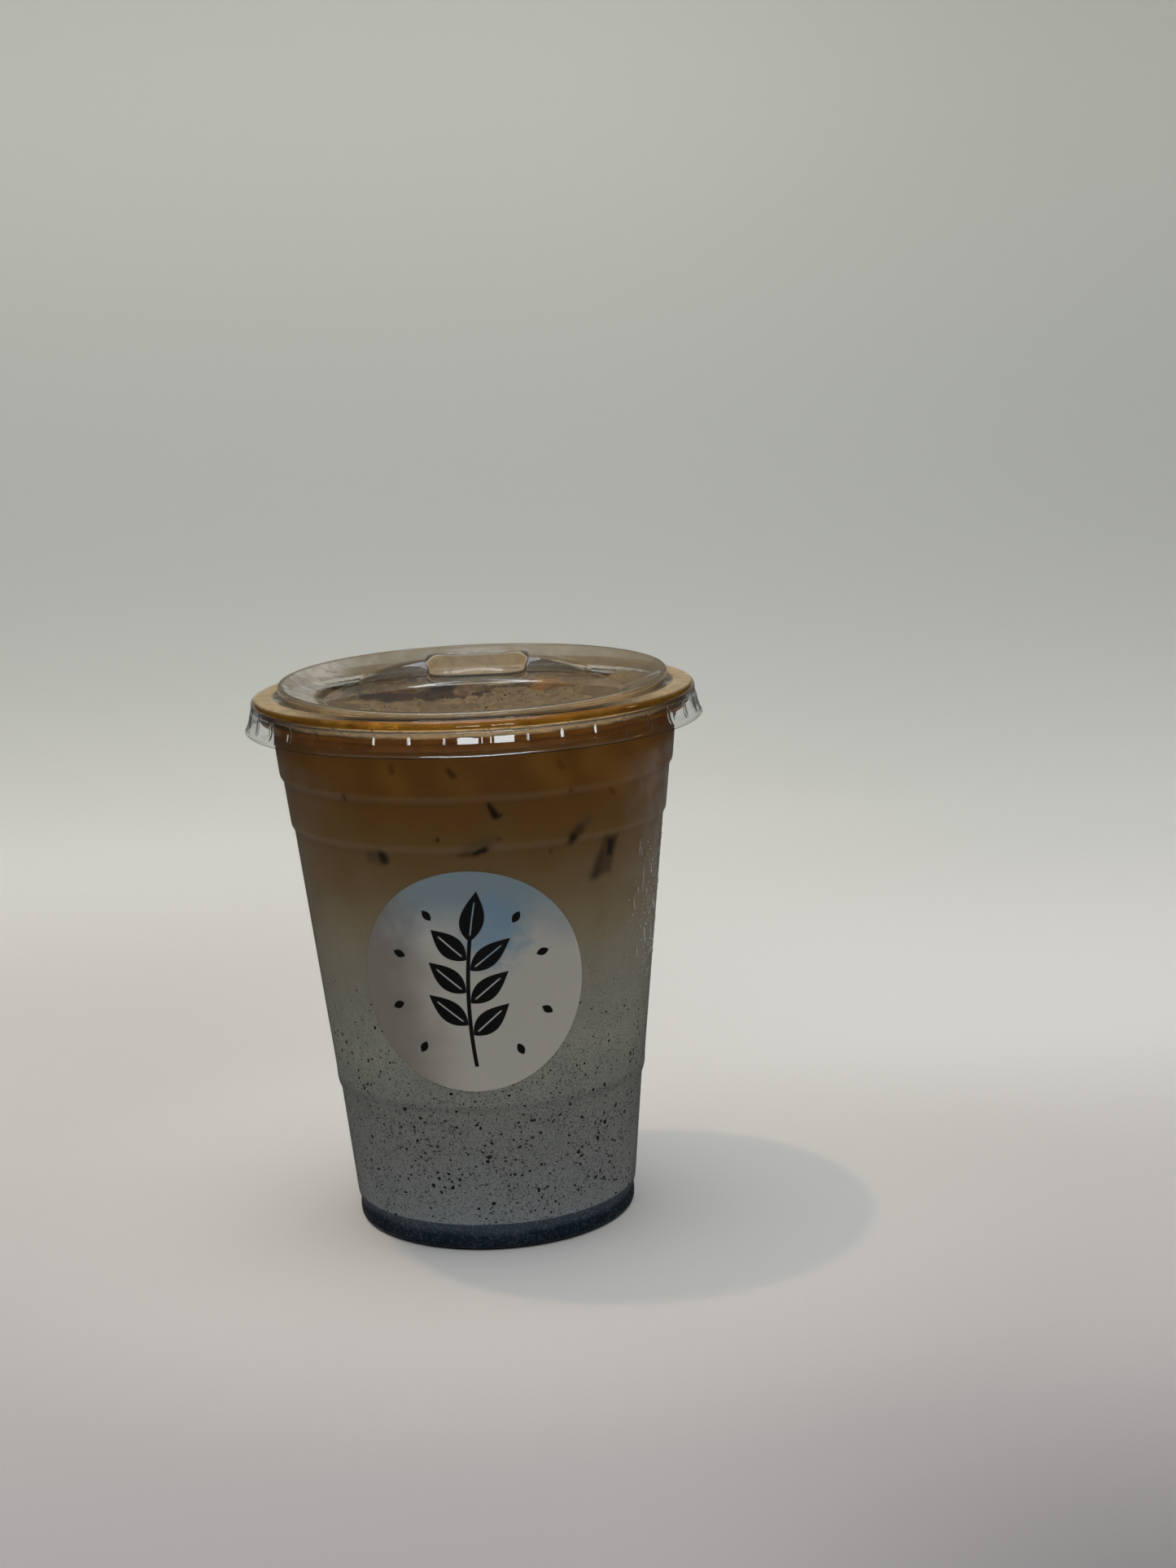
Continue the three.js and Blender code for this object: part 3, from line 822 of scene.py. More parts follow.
# Marks where sunken ice touches the wall: from one end to the other, as (turn in degrees, height), with the
# half width at each end, how soft the edge is and how dark it gets
iceMarks = [
    {"ends": ((2.6, 104.4), (4.3, 101.9)), "width": (0.25, 0.75), "soft": 0.6, "dark": 0.95},
    {"ends": ((4.5, 101.6), (5.9, 101.8)), "width": (0.6, 0.25), "soft": 0.6, "dark": 0.85},
    {"ends": ((-7.8, 112.4), (-6.6, 111.0)), "width": (0.25, 0.45), "soft": 0.6, "dark": 0.75},
    {"ends": ((-6.6, 111.0), (-5.7, 110.7)), "width": (0.4, 0.2), "soft": 0.6, "dark": 0.5},
    {"ends": ((-6.4, 93.2), (-1.2, 93.5)), "width": (0.05, 0.35), "soft": 1.0, "dark": 0.55},
    {"ends": ((-1.9, 93.5), (1.2, 94.4)), "width": (0.35, 0.45), "soft": 0.7, "dark": 0.95},
    {"ends": ((-30.4, 92.9), (-29.8, 92.0)), "width": (0.65, 0.75), "soft": 1.0, "dark": 0.85},
    {"ends": ((26.9, 94.4), (27.6, 95.2)), "width": (0.55, 0.85), "soft": 1.1, "dark": 0.9},
    {"ends": ((28.4, 95.9), (29.8, 96.6)), "width": (0.8, 0.6), "soft": 1.4, "dark": 0.6},
    {"ends": ((-23.6, 113.2), (-23.3, 111.9)), "width": (0.3, 0.35), "soft": 0.8, "dark": 0.5},
    {"ends": ((-40.2, 105.8), (-40.2, 105.2)), "width": (0.35, 0.35), "soft": 0.6, "dark": 0.65},
    {"ends": ((26.1, 105.8), (26.2, 105.6)), "width": (0.22, 0.22), "soft": 0.4, "dark": 0.8},
    {"ends": ((22.4, 112.4), (23.6, 111.2)), "width": (0.2, 0.35), "soft": 0.9, "dark": 0.35},
    {"ends": ((40.2, 104.5), (42.0, 103.2)), "width": (0.2, 0.1), "soft": 0.5, "dark": 0.7},
    {"ends": ((-12.3, 96.9), (-12.2, 96.7)), "width": (0.28, 0.28), "soft": 0.4, "dark": 0.9},
    {"ends": ((5.1, 96.6), (5.2, 96.5)), "width": (0.25, 0.25), "soft": 0.5, "dark": 0.55},
    {"ends": ((20.6, 92.6), (20.6, 92.5)), "width": (0.2, 0.2), "soft": 0.5, "dark": 0.6},
    {"ends": ((118.0, 101.0), (121.0, 96.0)), "width": (0.9, 1.3), "soft": 1.3, "dark": 0.7},
    {"ends": ((152.0, 95.0), (158.0, 94.0)), "width": (0.5, 1.1), "soft": 1.1, "dark": 0.8},
    {"ends": ((178.0, 103.0), (181.0, 98.5)), "width": (1.2, 0.6), "soft": 1.2, "dark": 0.75},
    {"ends": ((211.0, 92.5), (216.0, 96.5)), "width": (0.6, 0.9), "soft": 1.1, "dark": 0.8},
    {"ends": ((243.0, 105.0), (246.0, 101.0)), "width": (0.5, 0.9), "soft": 1.0, "dark": 0.7},
    {"ends": ((268.0, 94.0), (275.0, 93.0)), "width": (0.4, 1.0), "soft": 1.2, "dark": 0.6},
    {"ends": ((86.0, 108.0), (88.0, 104.0)), "width": (0.5, 0.8), "soft": 1.0, "dark": 0.6},
]
# Flat ice faces right at the wall, each a convex outline of (turn, height) going round anticlockwise
iceFaces = [
    {"corners": ((34.6, 84.6), (42.8, 85.3), (45.4, 94.0), (39.0, 94.3)), "soft": 2.0, "dark": 0.52},
    {"corners": ((39.6, 89.0), (43.2, 88.4), (45.0, 93.4), (40.2, 93.9)), "soft": 2.2, "dark": 0.95},
    {"corners": ((119.0, 92.0), (124.0, 93.0), (123.0, 99.0), (119.5, 98.0)), "soft": 1.2, "dark": 0.7},
    {"corners": ((214.0, 94.0), (220.0, 95.5), (218.0, 100.0), (214.5, 99.0)), "soft": 1.2, "dark": 0.65},
]
# Cooler grey veil beside the marks, where an ice face lies just behind the wall
iceVeils = [
    {"ends": ((-34.2, 92.4), (-30.9, 92.3)), "width": (1.0, 1.5), "soft": 1.6, "dark": 0.55},
    {"ends": ((0.5, 96.0), (3.0, 96.6)), "width": (0.7, 0.8), "soft": 1.8, "dark": 0.35},
    {"ends": ((37.8, 89.6), (36.0, 85.8)), "width": (0.6, 1.2), "soft": 1.6, "dark": 0.6},
    {"ends": ((30.0, 97.2), (32.5, 98.4)), "width": (0.8, 0.8), "soft": 1.4, "dark": 0.45},
    {"ends": ((-4.0, 94.6), (2.5, 95.6)), "width": (0.7, 0.9), "soft": 1.4, "dark": 0.4},
    {"ends": ((120.0, 99.0), (124.0, 94.0)), "width": (2.6, 2.0), "soft": 1.8, "dark": 0.6},
    {"ends": ((213.0, 95.5), (219.0, 98.5)), "width": (1.8, 2.2), "soft": 1.8, "dark": 0.55},
    {"ends": ((180.0, 101.0), (184.0, 96.5)), "width": (2.4, 1.6), "soft": 1.8, "dark": 0.55},
]
# Warmer patches, where clear coffee runs round an ice face
warmPatches = [
    {"ends": ((-24.5, 111.0), (-22.0, 108.5)), "width": (2.2, 1.6), "soft": 4.0, "dark": 0.75},
    {"ends": ((-7.5, 110.5), (-3.0, 108.0)), "width": (1.8, 1.4), "soft": 4.0, "dark": 0.55},
    {"ends": ((17.5, 112.5), (22.5, 108.6)), "width": (2.4, 2.2), "soft": 4.0, "dark": 0.9},
    {"ends": ((33.5, 112.0), (45.0, 106.5)), "width": (3.0, 2.6), "soft": 4.5, "dark": 0.85},
    {"ends": ((-47.0, 113.0), (-38.0, 111.5)), "width": (2.0, 2.0), "soft": 5.0, "dark": 0.4},
    {"ends": ((52.0, 112.0), (62.0, 104.0)), "width": (3.0, 3.0), "soft": 5.0, "dark": 0.5},
    {"ends": ((100.0, 111.0), (118.0, 108.0)), "width": (3.0, 3.0), "soft": 5.0, "dark": 0.7},
    {"ends": ((160.0, 110.0), (175.0, 107.0)), "width": (3.0, 2.0), "soft": 5.0, "dark": 0.6},
    {"ends": ((225.0, 112.0), (240.0, 108.0)), "width": (2.0, 3.0), "soft": 5.0, "dark": 0.7},
]


# How strongly marks cover points of the wall: distance to the line between a mark's ends, less its half
# width there, faded from 1 to 0 over its soft edge
def markCover(turn, height, marks):
    cover = np.zeros(len(turn))
    for mark in marks:
        (turnA, heightA), (turnB, heightB) = mark["ends"]
        radius = wallRadius((heightA + heightB) / 2)
        middle = math.radians((turnA + turnB) / 2)
        u = ((turn - middle + math.pi) % (2 * math.pi) - math.pi) * radius
        half = math.radians(turnB - turnA) / 2 * radius
        along = np.array([2 * half, heightB - heightA])
        fromA = np.stack([u + half, height - heightA], axis=-1)
        t = np.clip(fromA @ along / (along @ along), 0, 1)
        apart = np.linalg.norm(fromA - t[:, None] * along, axis=-1)
        width = mark["width"][0] + t * (mark["width"][1] - mark["width"][0])
        soft = mark["soft"]
        strength = mark["dark"] * (1 - smooth(apart - width, -0.5 * soft, soft))
        cover = np.maximum(cover, strength)
    return cover


# The same for outlines: the largest distance beyond any of its sides, faded from 1 to 0 over the soft edge
def faceCover(turn, height, faces):
    cover = np.zeros(len(turn))
    for face in faces:
        corners = np.array(face["corners"])
        middle = corners.mean(axis=0)
        radius = wallRadius(middle[1])
        plan = (corners - middle) * (math.radians(1) * radius, 1)
        u = ((turn - math.radians(middle[0]) + math.pi) % (2 * math.pi) - math.pi) * radius
        here = np.stack([u, height - middle[1]], axis=-1)
        beyond = np.full(len(turn), -1e3)
        for start, end in zip(plan, np.roll(plan, -1, axis=0)):
            side = (end - start) / np.linalg.norm(end - start)
            beyond = np.maximum(beyond, (here - start) @ np.array([side[1], -side[0]]))
        fade = 1 - smooth(beyond, -0.6 * face["soft"], 0.4 * face["soft"])
        cover = np.maximum(cover, face["dark"] * fade)
    return cover


def readPoints(mesh):
    flat = np.empty(len(mesh.vertices) * 3, np.float32)
    mesh.vertices.foreach_get("co", flat)
    return flat.reshape(-1, 3).astype(float) / mm


def addAttribute(mesh, name, values):
    layer = mesh.attributes.new(name, "FLOAT", "POINT")
    layer.data.foreach_set("value", values.astype(np.float32))


# A turned solid whose wall carries the covers of the ice marks, veils and warm patches as attributes
def makeCoffee():
    heights = np.linspace(drink["milkTop"], drink["coffeeTop"], 96)
    piece = makeLayer("milk_coffee_body", heights, coffeeMaterial(), 528)
    points = readPoints(piece.data)
    turn = np.arctan2(points[:, 0], -points[:, 1])
    onSide = np.hypot(points[:, 0], points[:, 1]) > 38
    covers = {name: markCover(turn, points[:, 2], marks)
              for name, marks in (("film", iceMarks), ("halo", iceVeils), ("warm", warmPatches))}
    covers["film"] = np.maximum(covers["film"], faceCover(turn, points[:, 2], iceFaces))
    for name, cover in covers.items():
        addAttribute(piece.data, name, cover * onSide)
    return piece


dress(makeCoffee(), "milk_coffee", "coffee")

# Sesame grains, each a small crushed flake that lies in the face of the drink

grains = {
    "count": 6600,
    "clusters": 170,
    "inCluster": 11,
    "lowest": 6.5,
    "highest": 66.0,
    "middle": 0.147,  # usual half length
    "spread": 0.56,  # of the half lengths, as a power of e
    "largest": 0.62,
    "thickest": 0.14,
    "seed": 41,
}
icosahedronPoints = np.array([
    (0, 0.85, 0.53), (0, -0.85, 0.53), (0, 0.85, -0.53), (0, -0.85, -0.53),
    (0.85, 0.53, 0), (-0.85, 0.53, 0), (0.85, -0.53, 0), (-0.85, -0.53, 0),
    (0.53, 0, 0.85), (-0.53, 0, 0.85), (0.53, 0, -0.85), (-0.53, 0, -0.85),
])
icosahedronFaces = np.array([
    (0, 9, 8), (0, 8, 4), (0, 4, 2), (0, 2, 5), (0, 5, 9), (3, 1, 6), (3, 6, 10), (3, 10, 11), (3, 11, 7),
    (3, 7, 1), (1, 9, 7), (1, 8, 9), (1, 6, 8), (6, 4, 8), (6, 10, 4), (10, 2, 4), (10, 11, 2), (11, 5, 2),
    (11, 7, 5), (7, 9, 5),
])


# Many small lumps in one mesh: lump n's corner k is centre[n] + the sum over its three axes of
# axis[n] * size[n] * corner[k], each corner pushed in or out a little
def makeLumps(name, centres, axes, sizes, rough, material, random):
    corners = icosahedronPoints[None] * random.uniform(1 - rough, 1 + rough, (len(centres), 12, 1))
    local = corners * sizes[:, None, :]
    points = centres[:, None, :] + np.einsum("nkd,ndc->nkc", local, axes)
    faces = (np.arange(len(centres)) * 12)[:, None, None] + icosahedronFaces[None]
    return makePiece(name, points.reshape(-1, 3), faces.reshape(-1, 3), material, 30.0)


# Axes of a lump on the wall: turned by `spin` in the wall's own plane, the third one pointing out
def wallAxes(turn, spin):
    zero = 0 * turn
    around = np.stack([np.cos(turn), np.sin(turn), zero], axis=-1)
    up = np.stack([zero, zero, zero + 1], axis=-1)
    out = np.stack([np.sin(turn), -np.cos(turn), zero], axis=-1)
    first = np.cos(spin)[:, None] * around + np.sin(spin)[:, None] * up
    second = np.cos(spin)[:, None] * up - np.sin(spin)[:, None] * around
    return np.stack([first, second, out], axis=1)


def grainMaterial():
    finish = Finish("crushed black sesame")
    tone = finish.noise(2.2, 2.0).between(0.35, 0.7)
    look = {
        "Base Color": finish.mix(tone, (0.012, 0.012, 0.014), (0.055, 0.045, 0.038)),
        "Roughness": 0.55 - tone * 0.15,
        "Specular IOR Level": 0.0,
    }
    return finish.done(finish.surface(look))


# Grains on the wall at heights from a beta curve, most of them low down, with groups spread by a bell curve;
# half length = middle * e^(spread * bell), so that a few are large
def makeGrains(c):
    random = np.random.default_rng(c["seed"])
    single = c["count"] - c["clusters"] * c["inCluster"]
    span = c["highest"] - c["lowest"]
    height = c["lowest"] + span * random.beta(1.25, 1.9, single)
    turn = random.uniform(-math.pi, math.pi, single)
    middleHeight = c["lowest"] + span * random.beta(1.6, 3.4, c["clusters"])
    middleTurn = random.uniform(-math.pi, math.pi, c["clusters"])
    spread = random.normal(0, 1.5, (c["clusters"], c["inCluster"], 2))
    height = np.concatenate([height, (middleHeight[:, None] + spread[..., 0] * 0.8).ravel()])
    turn = np.concatenate([turn, (middleTurn[:, None] + spread[..., 1] / 36).ravel()])
    height = np.clip(height, c["lowest"], c["highest"])
    half = c["middle"] * np.exp(random.normal(0, c["spread"], len(turn)))
    half = np.minimum(half, c["largest"])
    half = half * (1 - 0.35 * smooth(height, 45, 66))
    across = half * random.uniform(0.5, 0.95, len(turn))
    sizes = np.stack([half, across, np.minimum(half, c["thickest"])], axis=-1)
    radius = wallRadius(height) - drink["intoWall"]
    centres = np.stack([radius * np.sin(turn), -radius * np.cos(turn), height], axis=-1)
    axes = wallAxes(turn, random.uniform(0, math.pi, len(turn)))
    return makeLumps("sesame_grains", centres, axes, sizes, 0.25, grainMaterial(), random)


dress(makeGrains(grains), "sesame_paste")

# Froth: a height for each point in plan, with humps and bubbles, and grains that float on it

froth = {
    "level": 118.6,
    "relief": 0.28,
    "waves": 24,
    "climb": 0.75,  # at the wall
    "bottom": 117.15,
    "rings": 92,
    "segments": 360,
    "bubbles": 520,
    "dome": 0.55,
    "seed": 7,
}


# Height of the froth over plan points: three crossing waves for its humps, random waves for lumps, a climb at
# the wall, and each bubble a low dome * sqrt(radius^2 - distance^2)
def frothHeight(c, x, y):
    random = np.random.default_rng(c["seed"])
    height = c["relief"] * (np.sin(x / 4.1 + 1) + np.sin(y / 3.3 + x / 9) + np.sin((x - y) / 5.7)) / 3
    for wave in range(c["waves"]):
        direction = random.uniform(0, 2 * math.pi)
        length = random.uniform(1.8, 7.0)
        phase = (x * math.cos(direction) + y * math.sin(direction)) * 2 * math.pi / length
        height = height + 0.0085 * length * np.sin(phase + random.uniform(0, 6.28))
    height = height + c["climb"] * smooth(np.hypot(x, y), 42.6, 46.0)
    for bubble in range(c["bubbles"]):
        away = 45 * math.sqrt(random.uniform(0, 1))
        direction = random.uniform(0, 2 * math.pi)
        radius = 0.45 + 1.0 * random.beta(1.2, 4)
        apart = (x - away * math.cos(direction)) ** 2 + (y - away * math.sin(direction)) ** 2
        height = height + c["dome"] * np.sqrt(np.maximum(radius**2 - apart, 0))
    return c["level"] + height


# Froth in patches, speckled by cells of two sizes, with thin dark rings for bubbles
def frothMaterial():
    finish = Finish("coffee froth")
    x, y, z = finish.axes()
    patch = finish.noise(9.0, 3.0, 0.6)
    small = finish.cells(0.8)
    tiny = finish.cells(0.36)
    # Bare coffee lies round the ice at the back and left, and against the wall
    fromIce = ((x * 1000 + 13) ** 2 + (y * 1000 - 27) ** 2).root() + (patch - 0.5) * 26
    bare = 1 - (fromIce + (small - 0.4) * 5).between(16, 20)
    fromAxis = (x * x + y * y).root() * 1000
    atWall = (fromAxis + (patch - 0.5) * 3).between(43.4, 45.0)
    rings = finish.cells(3.1)
    rings = rings.between(0.10, 0.16) * (1 - rings.between(0.18, 0.26)) * 0.55
    mottle = finish.noise(3.2, 4.0, 0.5)
    base = finish.mix(mottle.between(0.38, 0.62), (0.355, 0.220, 0.082), (0.730, 0.525, 0.250))
    foamy = finish.mix(small.between(0.18, 0.5) * 0.5, base, (0.75, 0.57, 0.29))
    darker = finish.mix((1 - tiny.between(0.08, 0.42)) * 0.6, foamy, (0.22, 0.130, 0.048))
    bubbled = finish.mix(rings, darker, (0.10, 0.062, 0.028))
    coffee = finish.mix(bare.most(atWall * 0.4), bubbled, (0.105, 0.050, 0.014))
    look = {
        "Base Color": coffee,
        "Roughness": 0.45 + patch * 0.15,
        "Specular IOR Level": 0.35,
        "Normal": finish.bump(small * 0.7 + tiny * 0.3, 0.25, 0.7),
    }
    return finish.done(finish.surface(look))


# The height over rings of points that crowd towards the wall, radius = edge * t^0.9, closed by a flat base
def makeFroth(c):
    edge = float(wallRadius(118.4)) - drink["intoWall"]
    turns = np.linspace(0, 2 * math.pi, c["segments"], endpoint=False)
    radii = edge * np.linspace(0, 1, c["rings"]) ** 0.9
    x = radii[None, :] * np.sin(turns[:, None])
    y = -radii[None, :] * np.cos(turns[:, None])
    height = frothHeight(c, x, y)
    height[:, 0] = height[0, 0]
    top = np.stack([x, y, height], axis=-1)[:, ::-1]
    base = np.array([(0, c["bottom"]), (edge, c["bottom"])])
    under = turned(base, turns).reshape(len(turns), 2, 3)
    points = np.concatenate([under, top], axis=1)
    faces = gridFaces(len(turns), points.shape[1], wrapRows=True)
    return makePiece("coffee_froth", points.reshape(-1, 3), faces, frothMaterial(), 60.0)


dress(makeFroth(froth), "froth", "foam")

frothGrains = {
    "single": 420,
    "clusters": 26,
    "inCluster": 9,
    "reach": 42.0,  # from the axis
    "middle": 0.17,
    "largest": 0.42,
    "seed": 12,
}


# Sesame grains that float on the froth, some alone and some in loose groups
def makeFrothGrains(c):
    random = np.random.default_rng(c["seed"])
    away = c["reach"] * np.sqrt(random.uniform(0, 1, c["single"] + c["clusters"]))
    direction = random.uniform(0, 2 * math.pi, len(away))
    place = np.stack([away * np.cos(direction), away * np.sin(direction)], axis=-1)
    spread = random.normal(0, 1.1, (c["clusters"], c["inCluster"], 2))
    grouped = place[c["single"]:, None, :] + spread
    place = np.concatenate([place[:c["single"]], grouped.reshape(-1, 2)])
    half = np.minimum(c["middle"] * np.exp(random.normal(0, 0.45, len(place))), c["largest"])
    x, y = place[:, 0], place[:, 1]
    centres = np.stack([x, y, frothHeight(froth, x, y)], axis=-1)
    sizes = half[:, None] * random.uniform(0.6, 1.0, (len(place), 3))
    axes = wallAxes(direction[0] + 0 * x, random.uniform(0, math.pi, len(place)))
    return makeLumps("floating_grains", centres, axes, sizes, 0.25, grainMaterial(), random)


dress(makeFrothGrains(frothGrains), "sesame_paste")

# Coffee caught in the ring of the lid, over the rolled rim

ringCoffee = {
    "inner": 46.75,
    "outer": 50.12,
    "bottom": 121.55,
    "top": 123.32,
    "innerTop": 123.42,
    "wander": 0.45,  # how far the inner edge wanders
    "segments": 512,
    "seed": 19,
}


# A closed ring with a ten-point section; its inner edge moves in and out as a sum of random waves
def makeRingCoffee(c):
    random = np.random.default_rng(c["seed"])
    turns = np.linspace(0, 2 * math.pi, c["segments"], endpoint=False)
    wander = np.zeros(c["segments"])
    for wave in (3, 5, 8, 13, 19, 27, 38, 52, 71):
        size = random.uniform(0.4, 1.0) / (1 + wave / 14)
        wander = wander + size * np.sin(wave * turns + random.uniform(0, 6.28))
    wander = c["wander"] * wander
    inner = c["inner"] + wander
    flat = 0 * turns
    top = c["innerTop"] + flat
    section = np.stack([
        np.stack([inner + 0.25, c["bottom"] + flat + 0.35], axis=-1),
        np.stack([inner + 0.9, c["bottom"] + flat], axis=-1),
        np.stack([flat + c["outer"] - 0.5, c["bottom"] + flat], axis=-1),
        np.stack([flat + c["outer"], c["bottom"] + flat + 0.3], axis=-1),
        np.stack([flat + c["outer"], c["top"] + flat - 0.85], axis=-1),
        np.stack([flat + c["outer"] - 0.35, c["top"] + flat - 0.35], axis=-1),
        np.stack([flat + c["outer"] - 0.85, c["top"] + flat - 0.1], axis=-1),
        np.stack([inner + 0.5, top], axis=-1),
        np.stack([inner + 0.1, top - 0.35], axis=-1),
        np.stack([inner, top - 1.0], axis=-1),
    ], axis=1)
    faces = gridFaces(len(turns), section.shape[1], wrapRows=True, wrapColumns=True)
    finish = Finish("thin amber coffee")
    thick = finish.noise(6.0, 2.0).between(0.3, 0.7)
    look = {
        "Base Color": finish.mix(thick, (0.46, 0.220, 0.014), (0.61, 0.330, 0.026)),
        "Transmission Weight": 0.82,
        "IOR": 1.34,
        "Roughness": 0.05 + thick * 0.05,
    }
    material = finish.done(finish.clear(look, (0.80, 0.58, 0.30)))
    return makePiece("amber_ring_coffee", turned(section, turns), faces, material, 60.0)


dress(makeRingCoffee(ringCoffee), "thin_coffee", "rim_coffee")

# Film of coffee on the outside of the wall, from inside the skirt up to the middle of the rolled rim

underRim = {
    "low": 116.3,
    "wallTop": 117.6,
    "rollTop": 0.0,  # where on the roll it ends, in degrees from straight out
    "thickness": 0.10,
    "segments": 256,
}


# A thin closed band: up the wall and round the roll to its middle, out by its thickness and back
def makeUnderRim(c):
    turns = np.linspace(0, 2 * math.pi, c["segments"], endpoint=False)
    wall = np.array([(float(wallRadius(z)), z) for z in np.linspace(c["low"], c["wallTop"], 6)])
    roll = np.radians(np.linspace(-150, c["rollTop"], 14))
    reach = cup["rimRadius"] + cup["wall"]
    arc = np.stack([np.cos(roll), np.sin(roll)], axis=-1) * reach + np.array(cup["rimCentre"])
    line = np.concatenate([wall, arc])
    inside = moveSideways(line, -0.06)
    outside = moveSideways(line, c["thickness"])
    section = np.concatenate([inside, outside[::-1]])
    faces = gridFaces(c["segments"], len(section), wrapRows=True, wrapColumns=True)
    finish = Finish("coffee under the rim")
    tone = finish.noise(8.0, 3.0, 0.6).between(0.3, 0.7)
    look = {
        "Base Color": finish.mix(tone, (0.17, 0.055, 0.006), (0.24, 0.088, 0.010)),
        "Roughness": 0.35 + tone * 0.1,
        "Specular IOR Level": 0.1,
    }
    material = finish.done(finish.surface(look))
    return makePiece("coffee_under_rim", turned(section, turns), faces, material, 60.0)


dress(makeUnderRim(underRim), "thin_coffee")

# Ice that pokes through the froth: rounded blocks, wet, in part covered with froth. Each row gives the name,
# centre, size, turns about X, Y and Z in degrees, how much froth covers it and its own colour
icePieces = [
    ("ice_back_left", (-19, 31, 111.4), (19, 14, 17), (12, -8, 24), 0.25, (0.26, 0.135, 0.045)),
    ("ice_back_middle", (0, 22, 111.0), (15, 17, 16), (20, 14, -18), 0.35, (0.36, 0.21, 0.085)),
    ("ice_back_right", (19, 27.5, 111.6), (16, 15, 16), (-10, 16, 12), 0.1, (0.46, 0.235, 0.055)),
    ("ice_right", (34.2, 9, 115), (14, 15, 15), (8, -16, 30), 1.0, (0.50, 0.43, 0.33)),
    ("ice_left", (-33, 6, 111.6), (15, 16, 16), (-12, 10, 38), 0.9, (0.48, 0.37, 0.22)),
    ("ice_front", (-4, -6, 110.9), (18, 16, 16.5), (10, 9, 8), 0.75, (0.46, 0.34, 0.19)),
]
iceForm = {
    "rows": 41,
    "columns": 80,
    "squareness": 0.42,  # 1 is a ball, 0 a box
    "waves": 9,
    "melt": 0.011,
}


# Matrix that turns a point about Z, then Y, then X
def turnMatrix(degrees):
    x, y, z = np.radians(degrees)
    aroundX = np.array([[1, 0, 0], [0, math.cos(x), -math.sin(x)], [0, math.sin(x), math.cos(x)]])
    aroundY = np.array([[math.cos(y), 0, math.sin(y)], [0, 1, 0], [-math.sin(y), 0, math.cos(y)]])
    aroundZ = np.array([[math.cos(z), -math.sin(z), 0], [math.sin(z), math.cos(z), 0], [0, 0, 1]])
    return aroundX @ aroundY @ aroundZ


# A sphere pushed out towards its box, sign(v) |v|^squareness on each axis, with low waves melted into it,
# then kept inside the wall and under the lid
def makeIce(name, centre, size, turn, cover, colour, index):
    random = np.random.default_rng(100 + index)
    rows, columns = iceForm["rows"], iceForm["columns"]
    polar = np.linspace(0, math.pi, rows)[:, None]
    around = np.linspace(0, 2 * math.pi, columns, endpoint=False)[None, :]
    ball = np.stack(np.broadcast_arrays(np.sin(polar) * np.cos(around), np.sin(polar) * np.sin(around),
                                        np.cos(polar) + 0 * around), axis=-1)
    ball[np.abs(ball) < 1e-6] = 0
    points = np.sign(ball) * np.abs(ball) ** iceForm["squareness"] * np.array(size) / 2
    for wave in range(iceForm["waves"]):
        direction = random.normal(0, 1, 3)
        direction = direction / np.linalg.norm(direction) * 2 * math.pi / random.uniform(4, 11)
        wavy = iceForm["melt"] * np.sin(points @ direction + random.uniform(0, 6.28))
        points = points * (1 + wavy)[..., None]
    points = points @ turnMatrix(turn).T + np.array(centre)
    points = points.reshape(-1, 3)
    radius = np.hypot(points[:, 0], points[:, 1])
    limit = wallRadius(np.clip(points[:, 2], 60, 117)) - cup["wall"] - 1.0
    pull = np.minimum(1, limit / np.maximum(radius, 1e-6))
    points[:, :2] *= pull[:, None]
    ceiling = lidHeight(points[:, 0], points[:, 1]) - lid["wall"] - 0.35
    inWell = np.hypot(points[:, 0] * 0.5, (points[:, 1] - 32)) < 7.5
    ceiling = np.where(inWell, np.minimum(ceiling, well["floorTop"] - 0.9), ceiling)
    points[:, 2] = np.minimum(points[:, 2], ceiling)
    faces = gridFaces(rows, columns, wrapColumns=True)
    return makePiece(name + "_block", points, faces, iceMaterial(name, cover, colour), 60.0)


# Wet ice with pale cracks, and froth on a share `cover` of it
def iceMaterial(name, cover, colour):
    finish = Finish(name.replace("_", " "))
    crack = finish.noise(3.2, 3.0, 1.0)
    patches = finish.noise(3.0, 3.0, 0.8).between(0.62 - 0.45 * cover, 0.80 - 0.45 * cover)
    small = finish.cells(0.7)
    wet = finish.mix(crack.between(0.42, 0.66), colour, tuple(min(1, c * 1.7) for c in colour))
    foam = finish.mix(small.between(0.15, 0.5), (0.33, 0.225, 0.105), (0.52, 0.39, 0.21))
    look = {
        "Base Color": finish.mix(patches, wet, foam),
        "Roughness": 0.10 + patches * 0.45,
        "IOR": 1.31,
        "Specular IOR Level": 0.5,
        "Coat Weight": 0.3,
        "Coat Roughness": 0.08,
        "Normal": finish.bump(crack + small * patches * 0.5, 0.35, 0.6),
    }
    return finish.done(finish.surface(look))


for index, piece in enumerate(icePieces):
    dress(makeIce(*piece, index), "ice", piece[0])

# Sticker: a thin disc bent round the wall, pearl paper with a sesame sprig printed on it

sticker = {
    "radius": 25.4,
    "thickness": 0.12,
    "height": 64.2,
    "turn": -5.2,
    "grid": 97,
    "mapSpan": 60.0,  # millimetres across the whole of its UV map
}


